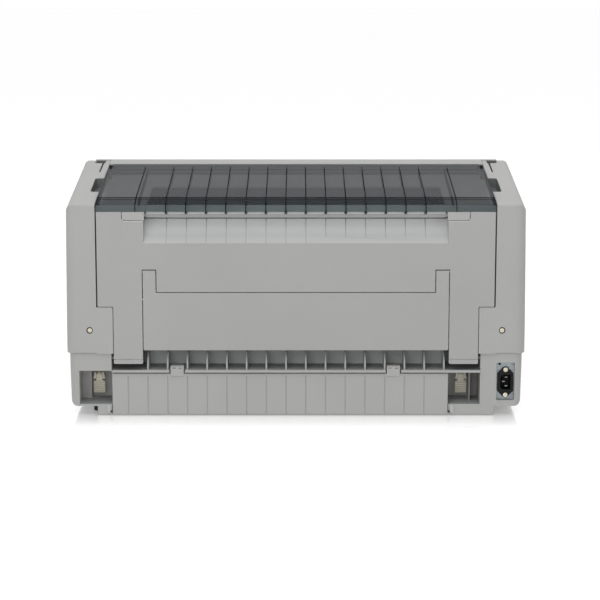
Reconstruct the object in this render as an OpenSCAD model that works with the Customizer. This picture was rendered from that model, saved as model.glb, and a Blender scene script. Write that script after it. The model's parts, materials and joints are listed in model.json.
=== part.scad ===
// Dot matrix printer with hinged covers, seen apart as its real pieces.
// Millimetres. Origin at the bottom centre, +Z up, the front faces -Y, the rear faces +Y.

/* [Case] */
// Overall width
case_w = 710; // [670:1:750]
// Overall depth
case_d = 382; // [376:1:400]
// Height of the ridge of the front cover
ridge_h = 364; // [360:0.5:372]
// How far the towers' ridge lies below the front cover's
tower_drop = 1.3; // [0.5:0.1:3]
// How far the towers' rear top edge lies below the ridge
rear_drop = 33.2; // [30:0.2:36]
// Distance from the front face to the ridge
ridge_in = 82; // [78:0.5:84]
// Height of the joint between the upper and the lower case
split_h = 98; // [96:0.5:99]
// Width of each side tower
tower_w = 47.5; // [41:0.5:46]
// Wall of the case and its covers
wall = 3; // [2.5:0.1:3.5]
// Radius of the case's upright corners
corner_r = 18; // [12:1:20]
// Radius of the towers' outer top edge
shoulder_r = 12; // [6:1:14]
// How far each side leans in over its height
side_lean = 3.2; // [1:0.1:4]
// How far the knee between the sloped and the upright front lies below the ridge
knee_drop = 96; // [92:1:100]
// Distance of that knee from the front face
knee_in = 15; // [12:1:18]
// How far the upright front's top lies below the ridge
front_drop = 114; // [112:1:116]
// How far behind the ridge the towers narrow
narrow_behind = 3.5; // [2:0.5:5]
// Width of each tower's narrow front part
narrow_w = 22; // [15:0.5:18]

/* [Tower details] */
// Length of the finger recesses
finger_len = 91; // [70:1:100]
// Place of the finger recesses' rear end, from the rear face
finger_back = 81; // [75:1:90]
// Width of the finger recesses
finger_w = 14; // [10:0.5:16]
// Depth of the finger recesses
finger_deep = 16; // [10:0.5:17]
// Width of the hinge slit in each tower
slit_w = 2.4; // [2.2:0.1:3]
// Distance of the slit's middle from the tower's inner face
slit_in = 11.3; // [11:0.1:12]
// Distance of the rear case screws from the case's sides
screw_in = 37; // [30:0.5:39]
// Height of the rear case screws
screw_z = 135; // [125:1:150]
// Radius of the case screws' heads
screw_r = 3.5; // [3:0.1:4]

/* [Rear cover] */
// How far inside the towers' inner faces the rear cover's wings end
wing_in = 2; // [1.5:0.5:4.5]
// How far the wings' top edge lies below the towers' rear edge
wing_down = 11.3; // [11.3:0.5:12.8]
// Height where the rear cover steps in
wing_bottom = 171.8; // [160:0.5:180]
// How far inside the towers' inner faces the cover ends below that step
leg_in = 26; // [25.5:0.5:27.5]
// Height of the legs' lower ends
leg_bottom = 82; // [81:0.5:84]
// How far inside the towers' inner faces the paper ramp ends
ramp_in = 74.2; // [71.7:0.5:77.2]
// How far the ramp's lower end lies below the towers' rear edge
ramp_down = 59.6; // [56:0.2:66]
// How far the ramp's upper end lies below the towers' rear edge
ramp_top_down = 25.8; // [24.8:0.2:28.8]
// Depth of the ramp at its upper end
ramp_deep = 30; // [26:0.5:31]
// How far inside the towers' inner faces the rear flap ends
flap_in = 72.2; // [71.5:0.1:73.5]
// Height of the flap's lower edge
flap_bottom = 103.4; // [102:0.2:106]
// Height of the flap's upper edge
flap_top = 193.8; // [185:0.2:200]
// Height of the flap's ears
ear_top = 228.6; // [220:0.2:235]
// Width of the flap's ears
ear_w = 19.8; // [15:0.2:24]
// Radius of the covers' hinge pins
hinge_pin_r = 2.5; // [2:0.1:3]

/* [Exit cover] */
// How far the smoked cover's bend lies above the towers' rear edge
bend_rise = 7.7; // [6.7:0.1:9.2]
// Distance of that bend from the rear face
bend_in = 25; // [22:0.5:28]
// How far the cover's rear edge lies below the towers'
lip_down = 0.8; // [0:0.2:1.8]
// Height of the lip under that edge
lip_h = 10; // [8:0.2:10]
// How far the cover's front edge lies below the ridge
exit_front_drop = 3.2; // [3:0.1:5]
// Distance of the cover's front edge behind the ridge
exit_behind = 41; // [40.5:0.5:50]
// Gap between the cover and the towers
exit_gap = 1.5; // [1.2:0.1:3.5]
// Gap between its narrower front end and the towers
exit_front_gap = 7.5; // [6.5:0.5:9.5]
// Spacing of the paper ribs
rib_pitch = 30.6; // [29:0.1:31]
// Thickness of the paper ribs
rib_t = 1.6; // [1:0.1:2.5]
// Depth of the paper ribs below the cover's top
rib_deep = 12; // [8:0.5:13]

/* [Front cover] */
// Gap between the front cover's strip and the exit cover
strip_gap = 2.5; // [2.2:0.1:4]
// Thickness of the strip and panel
panel_t = 3; // [2.5:0.1:3]
// How far inside the front cover's ends the window ends
window_in = 48; // [38:5:133]
// Thickness of the hinge arms
arm_t = 1.6; // [1.2:0.1:1.6]
// Distance of the arms' pivot behind the ridge
pivot_behind = 81; // [79:0.5:83]
// How far the arms' pivot lies below the ridge
pivot_drop = 20; // [19:0.5:22]

/* [Exit paper guide] */
// Depth of the deck below the towers' tops
deck_drop = 18; // [17:0.5:20]
// How far inside the towers' inner faces the deck's opening ends
deck_hole_side = 75.5; // [75.5:1:107.5]
// Distance of the opening's front edge from the rear face
deck_hole_in = 191; // [150:1:195]
// Distance of the opening's rear edge from the rear face
deck_edge = 31; // [29:1:41]
// How far inside the towers' inner faces the pads end
pad_in = 41.5; // [37.5:0.5:45.5]
// How far the pads' lower edge lies below the towers' rear edge
pad_down = 24.8; // [22.8:0.5:26.8]

/* [Base] */
// Height of the base's underside
base_bottom = 14.4; // [14:0.1:16]
// How far the base's front and rear are set in behind the upper case's
base_inset = 3; // [3:0.1:4]
// How far the base's sides are set in
base_side = 4; // [3.5:0.1:5]
// Draft of the base's sides
base_draft = 2.4; // [0:0.1:3]
// Thickness of the base's floor
floor_t = 3.2; // [2.5:0.1:4]
// How far inside the base's sides the rear bay ends
bay_in = 65.5; // [64:0.1:66]
// Depth of the rear bay
bay_deep = 62; // [60:0.5:64]
// Height of the right recess' ceiling
recess_top = 70.3; // [69:0.1:72]
// How far inside the base's side the right recess ends
recess_in = 15.2; // [14:0.2:19]
// Radius of the rubber feet
foot_r = 11.5; // [9:0.5:12]
// Distance of the right feet's middles from the base's side
foot_in = 45; // [41:1:51]
// Distance of the left feet's middles from the base's side
foot_b_in = 68; // [60:1:75]
// Distance of the feet's middles from the base's ends
foot_end = 38; // [37:1:48]

/* [Rear paper entry] */
// Height of the shelf
shelf_h = 71.8; // [71:0.1:72.5]
// Thickness of the shelf's lip
shelf_t = 3.8; // [3:0.1:4.2]
// Distance of the paper guide's wall from the base's rear face
chute_in = 46; // [44:0.5:50]
// Height of the guide's ribs above the shelf
chute_rib_h = 27.5; // [24:0.5:28]
// Radius of the ribs' round tops
chute_rib_r = 26; // [16:0.5:26]
// Thickness of the guide's ribs
chute_rib_t = 2.6; // [2:0.1:5]
// Width of the catches
catch_w = 20.5; // [16:0.5:21]
// Height of the catches above the shelf
catch_rise = 6; // [3:0.5:8]
// Gap beside each catch
catch_gap = 1.6; // [1.2:0.1:2]
// Place of the catch on the +X side
catch_a = 184; // [176:0.2:188]
// Place of the catch on the -X side
catch_b = -151; // [-156:0.2:-150]
// Gap between the lower rear cover and the bay's right end
lower_gap = 0.8; // [0.5:0.1:1.5]
// How far inside the bay's left end the lower rear cover ends
lower_in = 49.7; // [48.5:0.1:50.5]
// Height of the lower rear cover's top edge
lower_top = 66.1; // [64:0.1:67]
// Height of the lower rear cover's bottom edge
lower_bottom = 1.5; // [1.5:0.1:3]

/* [Lock levers] */
// How far inside the base's side the right lever stands
lever_in = 41.5; // [37:0.5:45]
// How far inside the base's side the left lever stands
lever_b_in = 91.7; // [89:0.1:94]
// Width of the lever pads
lever_w = 18.6; // [14:0.2:20]
// Height of the levers' lower ends
lever_bottom = 24; // [22:0.5:28]
// Height of the pads' upper ends
lever_top = 43.5; // [40:0.5:43.5]
// Height of the levers' pivots
lever_pivot = 52; // [52:0.5:54]

/* [Mains inlet] */
// How far inside the base's side the inlet stands
inlet_in = 26; // [25:0.5:27]
// Height of the inlet's middle
inlet_z = 52; // [48:0.5:56]
// Width of the inlet's window
inlet_win_w = 28; // [26:0.5:29]
// Height of the inlet's window
inlet_win_h = 59.5; // [56:0.5:62]
// Distance between the inlet's screws
inlet_pitch = 40; // [39:0.5:41]
// Width of the socket
socket_w = 16; // [15:0.5:17]
// Height of the socket
socket_h = 23.5; // [22:0.5:25]
// Depth of the socket
socket_deep = 18; // [14:0.5:20]

/* [Frame] */
// Distance of the side frames from the middle
frame_x = 245; // [243:0.5:247]
// Thickness of the side frames
frame_t = 3; // [2:0.1:3]
// Height of the base plate
plate_z = 104; // [102.5:0.5:105]
// Thickness of the base plate
plate_t = 2; // [1.5:0.1:2.5]
// Radius of the main carriage shaft
shaft_r = 6; // [5:0.1:7]
// Radius of the carriage rail
rail_r = 4; // [3:0.1:5]
// Radius of the tractors' guide rods
rod_r = 3.5; // [3:0.1:4]

/* [Platen and gears] */
// Radius of the platen
platen_r = 20; // [18:0.5:21]
// Half length of the platen
platen_len = 213; // [195:1:214]
// Radius of the platen shaft
platen_shaft_r = 6; // [5:0.1:7]
// How far the platen's axis lies below the ridge
platen_drop = 79; // [78:0.5:80]
// Place of the platen's axis, front to back
platen_y = 20; // [20:0.5:22]
// Module of the gears
gear_m = 2; // [2:0.001:2.001]
// Face width of the gears
gear_w = 8; // [5:0.5:9]
// Backlash between the gears' teeth
backlash = 0.5; // [0.4:0.05:0.7]
// Bore clearance of everything that turns
run_gap = 0.05; // [0.02:0.01:0.09]

/* [Tractors] */
// Distance of the tractors from the middle, sideways
tractor_x = 150; // [140:1:155]
// Width of a tractor
tractor_w = 24; // [20:0.5:26]
// Depth of a tractor
tractor_d = 30; // [26:0.5:30]
// Height of the tractors' lower ends
tractor_bottom = 130; // [130:0.5:134]
// Height of a tractor
tractor_h = 66; // [64:0.5:70]
// Distance of the tractor shafts from the middle
tractor_y = 119; // [118:0.5:120]
// Height of the tractor shafts
tractor_z = 185; // [184:0.5:186]
// Height of the tractor rods
rod_z_h = 148; // [144:0.5:152]
// Width across the square tractor shafts
square_w = 6; // [5:0.1:6]

/* [Carriage] */
// Width of the carriage
carriage_w = 60; // [50:1:70]
// Place of the main shaft, front to back
shaft_y = -52; // [-54:0.5:-51]
// How far the main shaft lies below the platen's axis
shaft_down = 47; // [46:0.5:48]
// Place of the rail, front to back
rail_y = -90; // [-91:0.5:-88]
// How far the rail lies below the platen's axis
rail_down = 33; // [32:0.5:35]
// Distance of the belt pulleys from the middle
pulley_x = 220; // [216:1:222]
// Radius of the belt pulleys
pulley_r = 8; // [7:0.1:8.5]
// Place of the belt, front to back
belt_y = -72; // [-73:0.5:-71]
// Width of the belt
belt_w = 7; // [5:0.5:8]
// Thickness of the belt
belt_t = 1.2; // [0.8:0.1:1.4]
// Gap between the print head's nose and the platen
head_gap = 2.2; // [2:0.1:3]

/* [Ribbon] */
// Half width of the ribbon cartridge
ribbon_x = 250; // [249:0.5:254]
// Height of the cartridge
ribbon_h = 22; // [18:0.5:26]
// Radius of the ribbon knob
ribbon_knob_r = 10; // [8:0.5:12]

/* [Front panel and paper slot] */
// How far inside the towers' inner faces the front lower cover ends
door_in = 24.5; // [23.5:0.5:27.5]
// Height of the lower cover's bottom edge above the joint of the cases
door_up = 14; // [13:0.5:16]
// How far the lower cover's top edge lies below the upright front's top
door_down = 56; // [55:0.5:60]
// How far inside the towers' inner faces the front paper slot ends
slot_in = 77.5; // [67.5:1:87.5]
// How far the paper slot lies below the upright front's top
slot_down = 47; // [45:0.5:47]
// Height of the paper slot
slot_h = 10; // [8:0.5:11]
// Length of the control panel
bezel_len = 160; // [155:1:170]
// How far inside the tower's inner face the control panel ends
bezel_in = 17.5; // [11.5:1:21.5]
// Width of a button
button_w = 13; // [10:0.5:14]
// Height of a button
button_h = 7; // [6:0.5:8]
// Travel of a button
button_travel = 1; // [0.6:0.1:1]
// Spacing of the buttons
button_pitch = 20; // [18:0.5:21]

/* [Power] */
// Width of the power supply
supply_w = 66; // [60:1:68]
// Gap between the power supply and the rear bay
supply_gap = 19; // [9:1:59]
// Height of the power supply
supply_h = 70; // [60:1:72]
// Side of the fan
fan_w = 60; // [50:1:62]
// Thickness of the fan
fan_t = 20; // [15:0.5:22]

/* [Hidden] */
$fn = 48;

// Colours
case_grey = [0.72, 0.73, 0.72];
cover_grey = [0.65, 0.66, 0.65];
smoke = [0.35, 0.38, 0.4, 0.6];
beige = [0.66, 0.66, 0.6];
steel = [0.66, 0.68, 0.7];
dark = [0.12, 0.12, 0.13];

// The case's main planes
half_w = case_w / 2;
rear_y = case_d / 2;
front_y = -case_d / 2;
ridge_y = front_y + ridge_in;
ridge_back = rear_y - ridge_y;
rear_h = ridge_h - rear_drop;
knee_h = ridge_h - knee_drop;
front_h = ridge_h - front_drop;
tower_x = half_w - tower_w;
wing_x = tower_x - wing_in;
leg_x = tower_x - leg_in;
ramp_x = tower_x - ramp_in;
flap_x = tower_x - flap_in;
exit_x = tower_x - exit_gap;
exit_front_x = tower_x - exit_front_gap;
deck_hole_x = tower_x - deck_hole_side;
pad_x = tower_x - pad_in;
door_x = tower_x - door_in;
slot_x = tower_x - slot_in;
screw_x = half_w - screw_in;
bezel_b = tower_x - bezel_in;
bezel_a = bezel_b - bezel_len;
tower_ridge_h = ridge_h - tower_drop;
tower_slope = (tower_ridge_h - rear_h) / ridge_back;
narrow_x = half_w - narrow_w;
window_x = narrow_x - window_in;
narrow_y = ridge_y + narrow_behind;
function tower_z(y) = rear_h + tower_slope * (rear_y - y);

// The rear and exit covers' main heights
wing_top = rear_h - wing_down;
ramp_bottom = rear_h - ramp_down;
ramp_top = rear_h - ramp_top_down;
bend_h = rear_h + bend_rise;
lip_top = rear_h - lip_down;
lip_bottom = lip_top - lip_h;
exit_front_h = ridge_h - exit_front_drop;
exit_len = ridge_back - exit_behind;
pivot_z = ridge_h - pivot_drop;
deck_hole_front = rear_y - deck_hole_in;
deck_hole_rear = rear_y - deck_edge;
pad_bottom = rear_h - pad_down;

// The front's heights
door_bottom = split_h + door_up;
door_top = front_h - door_down;
slot_z = front_h - slot_down;

// The print mechanism hangs together round the platen
platen_z = ridge_h - platen_drop;
shaft_z = platen_z - shaft_down;
rail_z = platen_z - rail_down;
cartridge_z = platen_z + 15;
bracket_z = platen_z - 77;
mech_top = platen_z - 23;
tractor_y0 = tractor_y - tractor_d / 2;
tractor_y1 = tractor_y + tractor_d / 2;

// The bay at the rear of the base
base_x = half_w - base_side;
base_y = rear_y - base_inset;
bay_y = rear_y - bay_deep;
bay_x = base_x - bay_in;
recess_x = base_x - recess_in;
lower_a = bay_x - lower_gap;
lower_b = lower_in - bay_x;
lever_a = base_x - lever_in;
lever_b = lever_b_in - base_x;
inlet_x = inlet_in - base_x;
floor_z = base_bottom + floor_t;
shelf_under = shelf_h - shelf_t;
foot_x = base_x - foot_in;
foot_b = foot_b_in - base_x;
foot_y = base_y - foot_end;

// ---- Outlines and plain shapes ----

function unit(v) = v / norm(v);
function flat_of(p) = [p[0], p[1]];
function turn(d) = d > 180 ? d - 360 : d < -180 ? d + 360 : d;

// Rounds the corners of a closed outline whose points are [u, v, radius].
function rounded(p, steps = 6) = [
    for (i = [0 : len(p) - 1])
        let (n = len(p), a = flat_of(p[(i + n - 1) % n]), b = flat_of(p[i]), c = flat_of(p[(i + 1) % n]))
        let (u = unit(a - b), v = unit(c - b), half = acos(max(min(u * v, 1), -1)) / 2, r = p[i][2])
        let (mid = r > 0 ? b + unit(u + v) * r / sin(half) : b)
        let (s = b + u * r / tan(half) - mid, e = b + v * r / tan(half) - mid)
        let (from = atan2(s[1], s[0]), sweep = turn(atan2(e[1], e[0]) - from))
        for (k = [0 : r > 0 ? steps : 0])
            r > 0 ? mid + r * [cos(from + sweep * k / steps), sin(from + sweep * k / steps)] : b
];

// Moves every edge of a counter-clockwise outline inwards by t.
function inset(p, t) = [
    for (i = [0 : len(p) - 1])
        let (n = len(p), a = flat_of(p[(i + n - 1) % n]), b = flat_of(p[i]), c = flat_of(p[(i + 1) % n]))
        let (u = unit(b - a), v = unit(c - b), m = [-u[1], u[0]], q = [-v[1], v[0]])
        let (d = b + t * (m + q) / (1 + m * q))
        [d[0], d[1], max(p[i][2] - t, 0)]
];

// An outline in Y and Z, drawn out along X.
module slab_x(x0, x1, outline) translate([x0, 0, 0]) rotate([90, 0, 90])
    linear_extrude(x1 - x0) polygon(outline);

// An outline in X and Z, drawn out along Y.
module slab_y(y0, y1, outline) translate([0, y1, 0]) rotate([90, 0, 0])
    linear_extrude(y1 - y0) polygon(outline);

// An outline in X and Y, drawn out along Z.
module slab_z(z0, z1, outline) translate([0, 0, z0]) linear_extrude(z1 - z0) polygon(outline);

module box(x, y, z) translate([x[0], y[0], z[0]]) cube([x[1] - x[0], y[1] - y[0], z[1] - z[0]]);
module rod_x(x0, x1, y, z, r) translate([x0, y, z]) rotate([0, 90, 0]) cylinder(h = x1 - x0, r = r);
module rod_y(y0, y1, x, z, r) translate([x, y1, z]) rotate([90, 0, 0]) cylinder(h = y1 - y0, r = r);
module rod_z(z0, z1, x, y, r) translate([x, y, z0]) cylinder(h = z1 - z0, r = r);
module both() {
    children();
    mirror([1, 0, 0]) children();
}
function frame_rect(x0, x1, y0, y1, r) = rounded([[x0, y0, r], [x1, y0, r], [x1, y1, r], [x0, y1, r]]);

// ---- Upper case ----

case_side = [
    [front_y, split_h, 1], [rear_y, split_h, wall], [rear_y, rear_h, wall], [ridge_y, tower_ridge_h, 10],
    [front_y + knee_in, knee_h, 6], [front_y, front_h, 2]
];
plan = [[0, front_y, 0], [half_w, front_y, corner_r], [half_w, rear_y, corner_r], [0, rear_y, 0]];
lean = side_lean / (rear_h - split_h);
below = 400;
shoulder = [
    [0, -below, 0], [half_w - side_lean + lean * below, -below, 0],
    [half_w - side_lean, 0, shoulder_r], [0, 0, 0]
];
narrow_cut_z = front_h;
flange_w = 8;

// The tower's body, drawn in by t on every side, from x0 outwards.
module tower_body(x0, t) intersection() {
    slab_x(x0, half_w, rounded(inset(case_side, t)));
    slab_z(0, ridge_h + wall, rounded(inset(plan, t)));
    translate([0, rear_y, rear_h]) rotate([-atan(tower_slope), 0, 0])
        slab_y(-case_d * 1.2, case_d * 0.2, rounded(inset(shoulder, t)));
}

finger_y1 = rear_y - finger_back;
finger_y0 = finger_y1 - finger_len;
slit_x0 = tower_x + slit_in - slit_w / 2;
slit_x1 = slit_x0 + slit_w;
pivot_y = ridge_y + pivot_behind;
slit_y1 = pivot_y + 6;
notch_x0 = slit_x0 - 1.8;
notch_x1 = narrow_x - 1;
notch_y1 = narrow_y + 21;
hinge_y = rear_y - exit_len + 13;
hinge_z = exit_front_h - 10.4;

// A pocket with thin walls, sunk into the tower's sloped top.
module finger_space(x0, grow, rise) intersection() {
    slab_z(rear_h - 40, ridge_h + 20, rounded([
        [x0, finger_y0 - grow, 0], [tower_x + finger_w + grow, finger_y0 - grow, 6 + grow],
        [tower_x + finger_w + grow, finger_y1 + grow, 6 + grow], [x0, finger_y1 + grow, 0]
    ]));
    translate([0, rear_y, rear_h]) rotate([-atan(tower_slope), 0, 0])
        box([0, half_w], [-case_d, 0], [-finger_deep - grow, rise]);
}

module tower() difference() {
    union() {
        difference() {
            union() {
                tower_body(tower_x, 0);
                // The rear wall's lower part, beside the rear cover's legs
                slab_y(rear_y - wall, rear_y, rounded([
                    [leg_x + 0.8, split_h, 0], [tower_x + 1, split_h, 0], [tower_x + 1, wing_bottom - 0.8, 0],
                    [leg_x + 0.8, wing_bottom - 0.8, 2]
                ]));
            }
            difference() {
                tower_body(tower_x + wall + 0.5, wall);
                // Walls round the narrow front part
                box([0, narrow_x + wall], [front_y, narrow_y + wall], [narrow_cut_z - wall, ridge_h + 9]);
            }
            box([0, narrow_x], [front_y - 1, narrow_y], [narrow_cut_z, ridge_h + 9]);
            // The hollow is open below, inside a flange that rests on the base
            box([tower_x + flange_w, base_x - flange_w], [front_y + 11, rear_y - 11],
                [split_h - 1, split_h + wall + 1]);
        }
        finger_space(tower_x, 2, -0.5);
        // Boss of the case screw
        rod_y(rear_y - 14, rear_y - wall, screw_x, screw_z, screw_r * 2);
        // Stub that the front cover's arm turns on
        rod_x(tower_x + wall, slit_x0 - 0.2, pivot_y, pivot_z, 5);
        rod_x(tower_x + wall, slit_x1 + 2, pivot_y, pivot_z, 3);
    }
    finger_space(tower_x - 1, 0, 20);
    // Hinge slit and the notch in front of it
    box([slit_x0, slit_x1], [narrow_y, slit_y1], [pivot_z + 6.4, ridge_h + 9]);
    box([notch_x0, notch_x1], [narrow_y - 1, notch_y1], [pivot_z - 8, ridge_h + 9]);
    // Screw recess
    rod_y(rear_y - 1.5, rear_y + 1, screw_x, screw_z, screw_r + 1.2);
    rod_y(rear_y - 15, rear_y, screw_x, screw_z, 1.5);
    // Bore of the exit cover's hinge pin
    rod_x(tower_x - 1, tower_x + 5, hinge_y, hinge_z, hinge_pin_r + run_gap);
}

door_gap = 1.5;
bezel_z0 = front_h - 32;
bezel_z1 = front_h - 4;
switch_xc = 22.5 - tower_x;
switch_w = 20;
switch_h = 16;
switch_z = front_h - 18;
light_pin_r = 1.2;
cover_pin_in = 2.2;
cover_pin_up = 1.8;
door_pin_y = front_y + cover_pin_in;
door_pin_z = door_bottom + cover_pin_up;

module front_wall() difference() {
    union() {
        box([-tower_x - 1, tower_x + 1], [front_y, front_y + wall], [split_h, front_h]);
        // Flange under the front cover
        box([-narrow_x - 1, narrow_x + 1], [front_y + 1, front_y + 20], [front_h - wall, front_h]);
        // Cheeks that hold the front lower cover's pins
        both() box([door_x + door_gap, door_x + door_gap + wall], [front_y + 1, front_y + 15],
            [split_h, slot_z - 2]);
    }
    box([-door_x - door_gap, door_x + door_gap], [front_y - 1, front_y + 9],
        [door_bottom - door_gap, door_top + door_gap]);
    box([-slot_x, slot_x], [front_y - 1, front_y + 9], [slot_z, slot_z + slot_h]);
    box([bezel_a, bezel_b], [front_y - 1, front_y + 9], [bezel_z0, bezel_z1]);
    box([switch_xc - switch_w / 2, switch_xc + switch_w / 2], [front_y - 1, front_y + 9],
        [switch_z - switch_h / 2, switch_z + switch_h / 2]);
    for (s = [-1, 1])
        rod_x(s * (door_x + 4) - 5, s * (door_x + 4) + 5, door_pin_y, door_pin_z, light_pin_r + run_gap);
}

module upper_case() color(case_grey) {
    both() tower();
    front_wall();
}

module case_screw(x, z, y, r) difference() {
    union() {
        rod_y(y - 1.3, y, x, z, r);
        rod_y(y - 9, y - 1.3, x, z, 1.4);
    }
    box([x - r * 0.7, x + r * 0.7], [y - 0.8, y + 1], [z - 0.5, z + 0.5]);
    box([x - 0.5, x + 0.5], [y - 0.8, y + 1], [z - r * 0.7, z + r * 0.7]);
}

module case_screws() color("white") {
    for (s = [-1, 1]) case_screw(s * screw_x, screw_z, rear_y - 0.2, screw_r);
    for (s = [-1, 1]) case_screw(inlet_x, inlet_z + s * inlet_pitch / 2, inlet_y + flange_t + 1.3, screw_r);
}

// ---- Lower case ----

recess_block = 22.3;
lower_pin_y = base_y - 1.5;
lower_pin_z = lower_bottom + 3;
rear_pin_y = rear_y - 13;
rear_pin_z = leg_bottom + 7;
post_r = 6;
board_z = 28;
inlet_win_z = inlet_z + 1.5;
port_z = 36;
port_t = 1.6;
parallel_y = [-20, 46];
usb_y = [60, 72];
usb_h = 11;
parallel_h = 16;
supply_x = 10 - base_x + base_draft + wall + 2;
fan_y = -90;
supply_len = bay_y - supply_gap - fan_y - fan_t / 2;

inlet_y = base_y - 5;
function inlet_window() = frame_rect(inlet_x - inlet_win_w / 2, inlet_x + inlet_win_w / 2,
    inlet_win_z - inlet_win_h / 2, inlet_win_z + inlet_win_h / 2, 2);
function base_outline(z0, z1) = [
    [base_draft - base_x, z0, 9], [base_x - base_draft, z0, 9], [base_x, z1, 0], [-base_x, z1, 0]
];
module base_body(z0, z1, t) intersection() {
    slab_y(t - base_y, base_y - t, rounded(inset(base_outline(z0, z1), t)));
    slab_z(0, case_d, frame_rect(t - base_x, base_x - t, t - base_y, base_y - t, corner_r - base_inset - t));
}

module bay_walls() {
    box([-bay_x - wall, recess_x + wall], [bay_y - wall, bay_y], [floor_z - 1, split_h]);
    box([-bay_x - wall, -bay_x], [bay_y - 1, base_y], [floor_z - 1, split_h]);
    // Recess beside the bay, on the +X side
    box([bay_x, bay_x + wall], [bay_y - 1, base_y], [recess_top, split_h]);
    box([bay_x, recess_x + wall], [bay_y - 1, base_y], [recess_top, recess_top + wall]);
    box([recess_x, recess_x + wall], [bay_y - 1, base_y], [floor_z - 1, recess_top + 1]);
    box([lever_a + 11, lever_a + 13], [bay_y - 1, bay_y + 17], [floor_z - 1, recess_top + 1]);
    box([lever_a + 11, recess_x + 1], [bay_y + 15, bay_y + 17], [floor_z - 1, recess_top + 1]);
    // Walls between the recesses and the room behind the lower rear cover
    box([bay_x - 2, bay_x], [bay_y - 1, base_y - wall - 1], [floor_z - 1, shelf_under]);
    box([lower_b + 1, lower_b + 3], [bay_y - 1, base_y - wall - 1], [floor_z - 1, shelf_under]);
    box([lever_b - 12.2, lever_b - 10.8], [bay_y - 1, base_y - 23], [floor_z - 1, shelf_under]);
}

module lower_case() color(case_grey) difference() {
    union() {
        difference() {
            base_body(base_bottom, split_h, 0);
            base_body(floor_z - wall, split_h + 9, wall);
            box([-bay_x, bay_x], [bay_y, rear_y], [floor_z, split_h + 9]);
            box([bay_x - 1, recess_x], [base_y - wall - 1, rear_y], [floor_z, recess_top]);
        }
        bay_walls();
        // Blocks that carry the lower rear cover
        box([lower_a + 1, lower_a + 1 + recess_block], [base_y - 24, base_y], [1, base_bottom + 1]);
        box([-lower_a - recess_block, lower_b - 1], [base_y - 24, base_y], [1, base_bottom + 1]);
        // Boss round the window of the mains inlet
        box([inlet_x - inlet_win_w / 2 - 2, inlet_x + inlet_win_w / 2 + wall],
            [inlet_y - 8, base_y - wall + 1],
            [floor_z - 1, inlet_win_z + inlet_win_h / 2 + wall]);
        for (x = [-235, 0, 235], y = [-125, 100]) rod_z(floor_z - 1, plate_z, x, y, post_r);
        for (x = [-190, 190], y = [-90, 70]) rod_z(floor_z - 1, board_z, x, y, 3);
        for (x = [base_x - 47, base_x - 25], y = [parallel_y[0] - 2, usb_y[1] + 5])
            rod_z(floor_z - 1, port_z, x, y, 3);
    }
    // Room for the lower rear cover
    box([lower_b - 1, lower_a + 1], [base_y - wall - 1, rear_y], [0, shelf_under]);
    rod_x(lower_a, lower_a + 7, lower_pin_y, lower_pin_z, light_pin_r + run_gap);
    rod_x(lower_b - 7, lower_b, lower_pin_y, lower_pin_z, light_pin_r + run_gap);
    // Bores of the rear cover's hinge pins
    both() rod_x(bay_x - 1, bay_x + wall + 1, rear_pin_y, rear_pin_z, hinge_pin_r + run_gap);
    // Window of the mains inlet
    slab_y(inlet_y - 9, rear_y, inlet_window());
    // Windows of the interface sockets
    box([base_x - 12, half_w], [parallel_y[0] - 0.4, parallel_y[1] + 0.4],
        [port_z + port_t - 0.4, port_z + port_t + parallel_h + 0.4]);
    box([base_x - 12, half_w], [usb_y[0] - 0.4, usb_y[1] + 0.4],
        [port_z + port_t - 0.4, port_z + port_t + usb_h + 0.4]);
    // Vents beside the fan
    for (i = [0 : 5]) box([-half_w, 12 - base_x], [fan_y - 42 + 7 * i, fan_y - 39 + 7 * i], [36, 76]);
}

module rubber_feet() color(dark)
    for (x = [foot_b, foot_x], y = [-foot_y, foot_y]) rod_z(0, base_bottom, x, y, foot_r);

// ---- Paper guides ----

deck_front = rear_y - exit_len + 23;
pad_front = rear_y - 91;
deck_rear = rear_y - 13;
deck_t = 3;
lip_edge = pad_bottom + 3.4;
function deck_z(y) = tower_z(y) - deck_drop;

module exit_pad() intersection() {
    slab_x(deck_hole_x, pad_x, rounded([
        [rear_y - wall, pad_bottom, 0], [rear_y, pad_bottom, 1], [rear_y, lip_bottom - 0.6, 1],
        [rear_y - bend_in, deck_z(rear_y - bend_in) + 4, 0], [pad_front, deck_z(pad_front) + 4, 2],
        [pad_front, deck_z(pad_front) - 1, 0],
        [deck_rear - 2, deck_z(deck_rear) - 1, 0], [rear_y - wall, deck_z(deck_rear) - 2, 0]
    ]));
    slab_y(0, rear_y, rounded([
        [deck_hole_x, pad_bottom, 1], [pad_x, pad_bottom, 6], [pad_x, ridge_h, 0], [deck_hole_x, ridge_h, 0]
    ]));
}

module exit_paper_guide() color(case_grey) {
    difference() {
        slab_x(-tower_x, tower_x, [
            [deck_front, deck_z(deck_front) - deck_t], [deck_rear, deck_z(deck_rear) - deck_t],
            [deck_rear, deck_z(deck_rear)], [deck_front, deck_z(deck_front)]
        ]);
        slab_z(lip_bottom - 20, ridge_h,
            frame_rect(-deck_hole_x, deck_hole_x, deck_hole_front, deck_hole_rear, 8));
    }
    box([-deck_hole_x, deck_hole_x], [deck_rear - wall, deck_rear], [lip_edge, deck_z(deck_rear) - 1]);
    both() exit_pad();
}

chute_y = base_y - 2;
chute_wall_y = base_y - chute_in;
chute_end_y = tractor_y1 + 0.8;
chute_end_z = tractor_bottom - 4;
chute_rib_top = shelf_h + chute_rib_h;
rib_first = rib_pitch / 2;
chute_x = rib_first + 7 * rib_pitch + 2.5;

module chute_rib_at(x) slab_x(x - chute_rib_t / 2, x + chute_rib_t / 2, rounded([
    [chute_wall_y - 1, shelf_h - 1, 0], [chute_y, shelf_h - 1, 0], [chute_y, chute_rib_top, chute_rib_r],
    [chute_wall_y - 1, chute_rib_top, 0]
], 12));

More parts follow.
